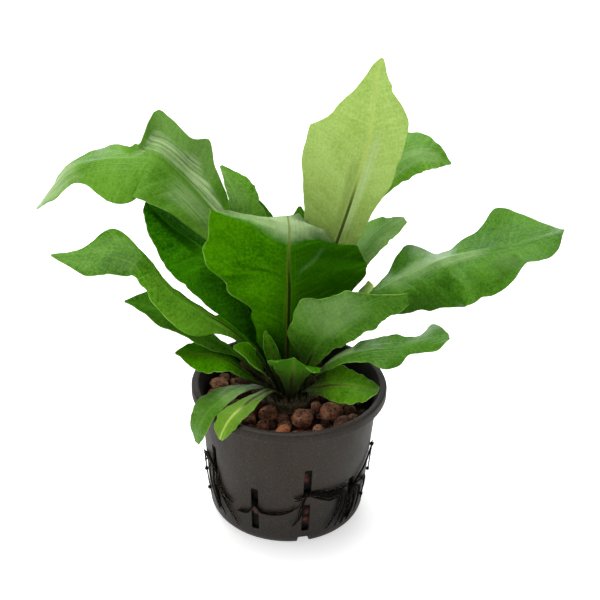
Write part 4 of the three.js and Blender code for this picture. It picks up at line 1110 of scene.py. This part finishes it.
def build_pot():
    body = add_item("pot_body", new_mesh("pot_body", *lathe(pot_profile(), POT_SEGMENTS)))
    cover = add_item("notch_cover", new_mesh("notch_cover", *notch_cover()))
    cutter = add_item("pot_slots", new_mesh("pot_slots", *slot_cutter()))
    mesh = shaped_mesh(body, [("UNION", cover), ("DIFFERENCE", cutter)])
    mesh.name = "slotted_pot"
    add_piece(mesh, "culture_pot", pot_material(), POT_SHARP_EDGE)


# Pellets

def seeded_draw(seed):
    """The same draw between 0 and 1 as the solids' own."""
    state = seed
    while True:
        state = (state * 1664525 + 1013904223) % 4294967296
        yield state / 4294967296


def pellet_places():
    """Where the pellets lie: those of the solids, and smaller ones that fill the gaps."""
    draw = seeded_draw(7)
    top_radius = wall_radius(BED_TOP - 4) - WALL_THICKNESS - BED_GAP - 0.6
    found = [(on_circle(azimuth, radius, height), size) for azimuth, radius, height, size in PELLET_SPOTS]

    def keep(place, size, spacing):
        if all((place - other).length > spacing * (size + reach) for other, reach in found):
            found.append((place, size))

    for radius, count in PELLET_RINGS:
        for k in range(count):
            size = PELLET_RADII[int(next(draw) * len(PELLET_RADII))]
            distance = min(radius + (next(draw) - 0.5) * 6, top_radius - size * 1.05)
            azimuth = (k + next(draw) * 0.5) / count * 360
            height = BED_TOP - 2 - size * 0.35 + next(draw) * 3
            keep(on_circle(azimuth, distance, height), size, PELLET_SPACING)
    chance = random.Random(11)
    for _ in range(FILLER_TRIES):
        size = chance.uniform(*FILLER_RADII)
        radius = math.sqrt(chance.uniform(FILLER_NEAREST ** 2, (top_radius - size) ** 2))
        place = on_circle(chance.uniform(0, 360), radius, BED_TOP - 6 - chance.uniform(0, 5))
        keep(place, size, FILLER_SPACING)
    return found


def add_pellet(pile, sphere, sphere_faces, number, place, size, chance):
    """A ball that is squashed, turned, made lumpy and cut flat in a few places."""
    stretch = Vector((1, chance.uniform(0.8, 1.0), chance.uniform(0.78, 0.95)))
    turn = Euler(random_vector(chance, 0, 3)).to_matrix()
    shift = random_vector(chance, 0, 90)
    tint = PELLET_SHADES[number] if number < len(PELLET_SHADES) else chance.uniform(0.0, 0.3)
    flats = [random_way(chance) for _ in range(PELLET_FLATS)]
    points = []
    for way in sphere:
        lump = 1
        for closeness, height in PELLET_LUMPS:
            lump += height * noise.noise(way * closeness + shift)
        lump = min([lump] + [PELLET_FLAT_REACH / max(way.dot(flat), 0.01) for flat in flats])
        points.append(place + turn @ (way * stretch) * (size * lump))
    pile.add(points, sphere_faces, (0, tint, 0))


def bed_mesh():
    """The bed under the top layer of pellets, lumpy all round."""
    foot = WALL_FOOT_RADIUS - WALL_THICKNESS - BED_GAP - BED_INSET
    floor = WALL_THICKNESS + BED_GAP
    rise = [[wall_radius(h) - WALL_THICKNESS - BED_GAP - BED_INSET, h] for h in range(14, 95, 3)]
    profile = [[0, floor]] + arc(foot, 10, floor, 6) + rise + [[0, BED_TOP - 7]]
    points, faces = lathe(profile, BED_SEGMENTS)
    lumpy = []
    for x, y, z in points:
        push = sum(height * noise.noise(Vector((x, y, z)) * closeness) for closeness, height in BED_LUMPS)
        radius = math.hypot(x, y)
        swell = 1 + min(push, BED_LUMP_LIMIT) / radius if radius > 5 else 1
        lumpy.append((x * swell, y * swell, z))
    return new_mesh("clay_pellets_bed", lumpy, faces, pellet=[(0, 0.9, 0)] * len(lumpy))


def pellet_material():
    n = painted("baked_clay", (116, 76, 60))
    _, tint, _ = n.attribute("pellet")
    n.lay(n.noise(160, 4, 0.65).eased(0.3, 0.75), (214, 150, 116))
    # Pellets with a low tint are laid dark: partly darker clay, partly painted shade on the ring and filler
    # pellets in the gaps
    n.lay(tint.eased(0.45, 0.05, 0.0, 0.85), (44, 30, 28))
    n.lay(tint.eased(0.7, 0.95, 0.0, 0.6), (170, 92, 48))
    # The pores are laid dark as painted shade in the holes
    pores = n.cells(430).eased(0.16, 0.4)
    n.lay((1.0 - pores) * 0.85, (24, 13, 11))
    n.bump(pores, 0.0005, 0.7)
    n.bump(n.noise(380, 4, 0.65), 0.0004, 0.6)
    return n.finish(0.88, 0.3)


def bed_material():
    """Pellets in the dark behind the slots and under the top layer."""
    n = painted("baked_clay_shaded", (112, 62, 48))
    lumps = n.cells(110)
    n.lay(lumps.eased(0.15, 0.55), (8, 5, 5))
    n.lay(n.noise(60, 2).eased(0.4, 0.6, 0.0, 0.85), (12, 8, 8))
    n.bump(lumps, 0.004, 0.8)
    return n.finish(0.9, 0.25)


def build_pellets():
    chance = random.Random(5)
    sphere, faces = ball(PELLET_DETAIL)
    pile = Pile()
    for number, (place, size) in enumerate(pellet_places()):
        add_pellet(pile, sphere, faces, number, place, size, chance)
    top = new_mesh("clay_pellets_top", pile.points, pile.faces, pellet=pile.tones)
    add_piece(top, "clay_pellets", pellet_material())
    add_piece(bed_mesh(), "clay_pellets", bed_material())


# Roots

def on_wall(azimuth, height, gap):
    return on_circle(azimuth, wall_radius(height) + gap, height)


def strand_line(knots, count, wander, chance, aside):
    """Points off the wall along azimuth and height knots, wandering a little, and swung
    aside in azimuth and height between the start and the end."""
    line = []
    shift = chance.uniform(0, 50)
    for k in range(count + 1):
        t = k / count
        azimuth, height = spline(knots, t)[0]
        swell = math.sin(math.pi * min(t * 1.5, 1) * 0.5)
        azimuth += aside[0] * swell + wander * noise.noise(Vector((t * 5, shift, 0)))
        height += aside[1] * swell + wander * noise.noise(Vector((t * 5, shift, 9)))
        line.append(on_wall(azimuth, max(height, FOOT_FILLET), ROOT_RADIUS + ROOT_GAP))
    return line


def add_hairs(pile, line, radii, chance, pale):
    """Short root hairs all along a strand, kept off the pot's wall."""
    for k in range(len(line) - 1):
        step = line[k + 1] - line[k]
        along = step.normalized()
        outward = Vector((line[k].x, line[k].y, 0)).normalized()
        for _ in range(int(step.length * HAIR_DENSITY + chance.random())):
            base = line[k].lerp(line[k + 1], chance.random())
            aside = outward * chance.uniform(0.0, 0.7) + outward.cross(along) * chance.uniform(-1, 1)
            way = (aside + along * chance.uniform(-0.8, 0.8)).normalized()
            tip = base + way * (radii[k] + HAIR_LENGTH * chance.uniform(0.4, 1))
            middle = base.lerp(tip, 0.5) + random_vector(chance, -0.2, 0.2)
            pile.add(*tube([base, middle, tip], HAIR_RADII, HAIR_SIDES), (pale, 0, 0))


def add_knob(pile, azimuth, height, size, chance):
    """A lump of tangled root with hairs on it."""
    centre = on_wall(azimuth, height, size * 0.9)
    sphere, faces = ball(3)
    shift = Vector((azimuth, height, 0))
    pile.add([centre + way * size * (1 + 0.55 * noise.noise(way * 2.6 + shift)) for way in sphere], faces)
    for _ in range(HAIRS_ON_KNOB):
        way = random_way(chance)
        base = centre + way * size * 0.8
        tip = base + way * chance.uniform(0.6, 1.7)
        if math.hypot(tip.x, tip.y) > wall_radius(tip.z) + 0.3:
            hair = tube([base, base.lerp(tip, 0.6), tip], KNOB_HAIR_RADII, HAIR_SIDES)
            pile.add(*hair, (0.35, 0, 0))


def add_strand(pile, number, bundle, strand, chance):
    """A root along its knots, and thinner ones that swing out beside it, all with hairs."""
    knots = [bundle["slot"]] + strand
    count = len(strand) * STRAND_STEPS
    steep = abs(strand[-1][1] - knots[0][1]) > abs(strand[-1][0] - knots[0][0])
    runs = [(0, ROOT_RADIUS * 0.75, count)]
    runs += [(chance.uniform(-2.6, 2.6), chance.uniform(0.3, 0.55), count - chance.randrange(count // 3))
             for _ in range(SIDE_STRANDS)]
    for shift, thick, length in runs:
        aside = (shift, 0.4 * shift) if steep else (0.3 * shift, shift)
        line = strand_line(knots, count, 1.3 if shift else 0.8, chance, aside)[:length + 1]
        lumps = [0.95 + 0.16 * noise.noise(Vector((k * 0.5, number, shift))) for k in range(len(line))]
        radii = [thick * (1 - 0.5 * k / count) * lump for k, lump in enumerate(lumps)]
        pile.add(*tube(line, radii, ROOT_SIDES))
        pale = 1.0 if chance.random() < PALE_HAIRS.get(bundle["name"], PALE_HAIR) else 0.1
        add_hairs(pile, line, radii, chance, pale * 0.7)


def root_material():
    n = painted("root_fuzz", (5, 4, 3))
    n.lay(n.noise(300, 3, 0.6).eased(0.35, 0.75), (18, 13, 10))
    n.lay(n.attribute("pale")[0], (168, 158, 138))
    n.bump(n.noise(900, 3, 0.6), 0.0003, 0.7)
    return n.finish(0.9, 0.06)


def build_roots():
    fuzz = root_material()
    for number, bundle in enumerate(ROOT_BUNDLES):
        chance = random.Random(30 + number)
        pile = Pile()
        inner, outer = [on_wall(*bundle["slot"], gap) for gap in ROOT_THROAT]
        pile.add(*tube([inner, inner.lerp(outer, 0.6), outer], ROOT_THROAT_RADII, ROOT_THROAT_SIDES))
        for strand in bundle["strands"]:
            add_strand(pile, number, bundle, strand, chance)
        for knob in KNOBS.get(bundle["name"], []):
            add_knob(pile, *knob, chance)
        name = bundle["name"].replace("roots", "clinging_roots")
        add_piece(new_mesh(name, pile.points, pile.faces, pale=pile.tones), bundle["name"], fuzz)


# Crown

def crown_scale(base, way, length, width, curl):
    """A slim pointed scale: a keeled blade that tapers and curls to its tip."""
    side = way.cross(Vector((0, 0, 1)))
    if side.length < 0.1:
        side = Vector((1, 0, 0))
    side = side.normalized()
    up = side.cross(way).normalized()
    points = []
    for k, share in enumerate(SCALE_SHAPE):
        t = k / (len(SCALE_SHAPE) - 1)
        centre = base + way * (length * t) + up * (curl * length * t * t)
        half = width * share / 2
        points += [centre - side * half, centre + up * (0.25 * share + 0.08), centre + side * half,
                   centre - up * 0.12]
    last = len(points) - 4
    ends = [(3, 2, 1, 0), (last, last + 1, last + 2, last + 3)]
    return points, bands(len(SCALE_SHAPE), 4) + ends


def crown_profile():
    rim = crown_height(CROWN_RADIUS) - 1
    outside = [[0, CROWN_BOTTOM], [6, CROWN_BOTTOM + 1], [10, CROWN_BOTTOM + 12], [14, 88]]
    outside += [[CROWN_RADIUS + 1.5, 97], [CROWN_RADIUS + 1.4, rim - 1], [CROWN_RADIUS + 0.8, rim]]
    floor = [[r, crown_height(r) - STALK_SINK - 2.4] for r in (CROWN_RADIUS, 10, 5, 0)]
    return outside + [[CROWN_RADIUS + 0.3, rim - 0.6]] + floor


def add_ring_scales(pile, chance):
    for ring, (radius, height, count, lean) in enumerate(SCALE_RINGS):
        for k in range(count):
            azimuth = (k + 0.5 * (ring % 2) + chance.uniform(-0.25, 0.25)) * 360 / count
            aside = on_circle(azimuth + 90, chance.uniform(-0.25, 0.25), 0)
            way = (on_circle(azimuth, 1, 0) * lean + Vector((0, 0, 1)) + aside).normalized()
            base = on_circle(azimuth, radius - 1.2, height + chance.uniform(-1, 1))
            pile.add(*crown_scale(base, way, chance.uniform(7, 11), chance.uniform(2, 3), -0.1))


def add_stalk_scales(pile, frond, chance):
    knots = spine_knots(frond)
    along = (Vector(spline(knots, 0.15)[0]) - Vector(spline(knots, 0.05)[0])).normalized()
    for _ in range(SCALES_ON_STALK):
        spot = Vector(spline(knots, chance.uniform(0.02, 0.1))[0])
        turn = chance.uniform(0, 360)
        base = spot + on_circle(turn, STALK_HALF_WIDTH + 0.35, 0)
        base.z = max(base.z, crown_height(CROWN_RADIUS) - 6)
        way = (along + on_circle(turn, 0.35, 0)).normalized()
        pile.add(*crown_scale(base, way, chance.uniform(3, 6.5), chance.uniform(0.8, 1.6), -0.06))


def crown_material():
    n = painted("crown_scales", (88, 78, 54))
    n.lay(n.noise(170, 3, 0.6).eased(0.35, 0.7), (158, 144, 104))
    n.bump(n.noise(700, 3, 0.6, n.stretched(1, 1, 0.3)), 0.0003, 0.7)
    return n.finish(0.8, 0.35, Sheen_Weight=0.15)


def build_crown():
    chance = random.Random(3)
    pile = Pile()
    pile.add(*lathe(crown_profile(), 48))
    add_ring_scales(pile, chance)
    for frond in FRONDS:
        add_stalk_scales(pile, frond, chance)
    mesh = new_mesh("scaly_crown", pile.points, pile.faces)
    add_piece(mesh, "crown", crown_material(), CROWN_SHARP_EDGE)


# Floor, light and camera

def build_stage():
    half = FLOOR_HALF
    corners = [(-half, -half, 0), (half, -half, 0), (half, half, 0), (-half, half, 0)]
    floor = add_item("floor", new_mesh("floor", corners, [(0, 1, 2, 3)]))
    floor.location = (0, 0, -FLOOR_DROP * MM)
    n = painted("floor_paint", FLOOR_WHITE)
    paint = n.finish(0.9, 0.1, Emission_Color=FLOOR_WHITE, Emission_Strength=FLOOR_GLOW)
    floor.data.materials.append(paint)


def add_sun(name, place, target, spread, strength, colour):
    """A wide even light that shines from place towards target."""
    light = bpy.data.lights.new(name, "SUN")
    light.angle = math.radians(spread)
    light.energy = strength
    light.color = colour
    item = add_item(name, light)
    item.location = place
    item.rotation_euler = (Vector(target) - Vector(place)).to_track_quat("-Z", "Y").to_euler()


def build_light():
    """Soft suns, in a studio that is bright behind the plant and low all round."""
    for sun in SUNS:
        add_sun(*sun)
    world = bpy.data.worlds.new("studio")
    n = Nodes(world)
    _, y, z = n.axes(n.place("Generated"))
    behind = y.eased(-0.3, 0.8, WORLD_FRONT, WORLD_BACK)
    glow = n.math("MAXIMUM", behind, z.eased(0.03, 0.16, WORLD_LOW, 0.0))
    n.fill(n.tree.nodes["Background"], {"Color": WORLD_COLOUR, "Strength": glow})
    bpy.context.scene.world = world
    bpy.context.scene.view_settings.view_transform = "Standard"
    bpy.context.scene.view_settings.look = "None"


def build_camera():
    camera = bpy.data.cameras.new("photo_camera")
    camera.lens = CAMERA_LENS
    camera.sensor_width = CAMERA_SENSOR
    camera.sensor_fit = "HORIZONTAL"
    camera.clip_end = CAMERA_REACH
    item = add_item("photo_camera", camera)
    aim = Matrix.Rotation(math.radians(90 - CAMERA_PITCH), 4, "X")
    roll = Matrix.Rotation(math.radians(CAMERA_ROLL), 4, "Z")
    item.matrix_world = Matrix.Translation(CAMERA_EYE) @ aim @ roll
    bpy.context.scene.camera = item


build_camera()
build_stage()
build_light()
build_pot()
build_pellets()
build_crown()
build_roots()
build_fronds()

bpy.context.view_layer.update()
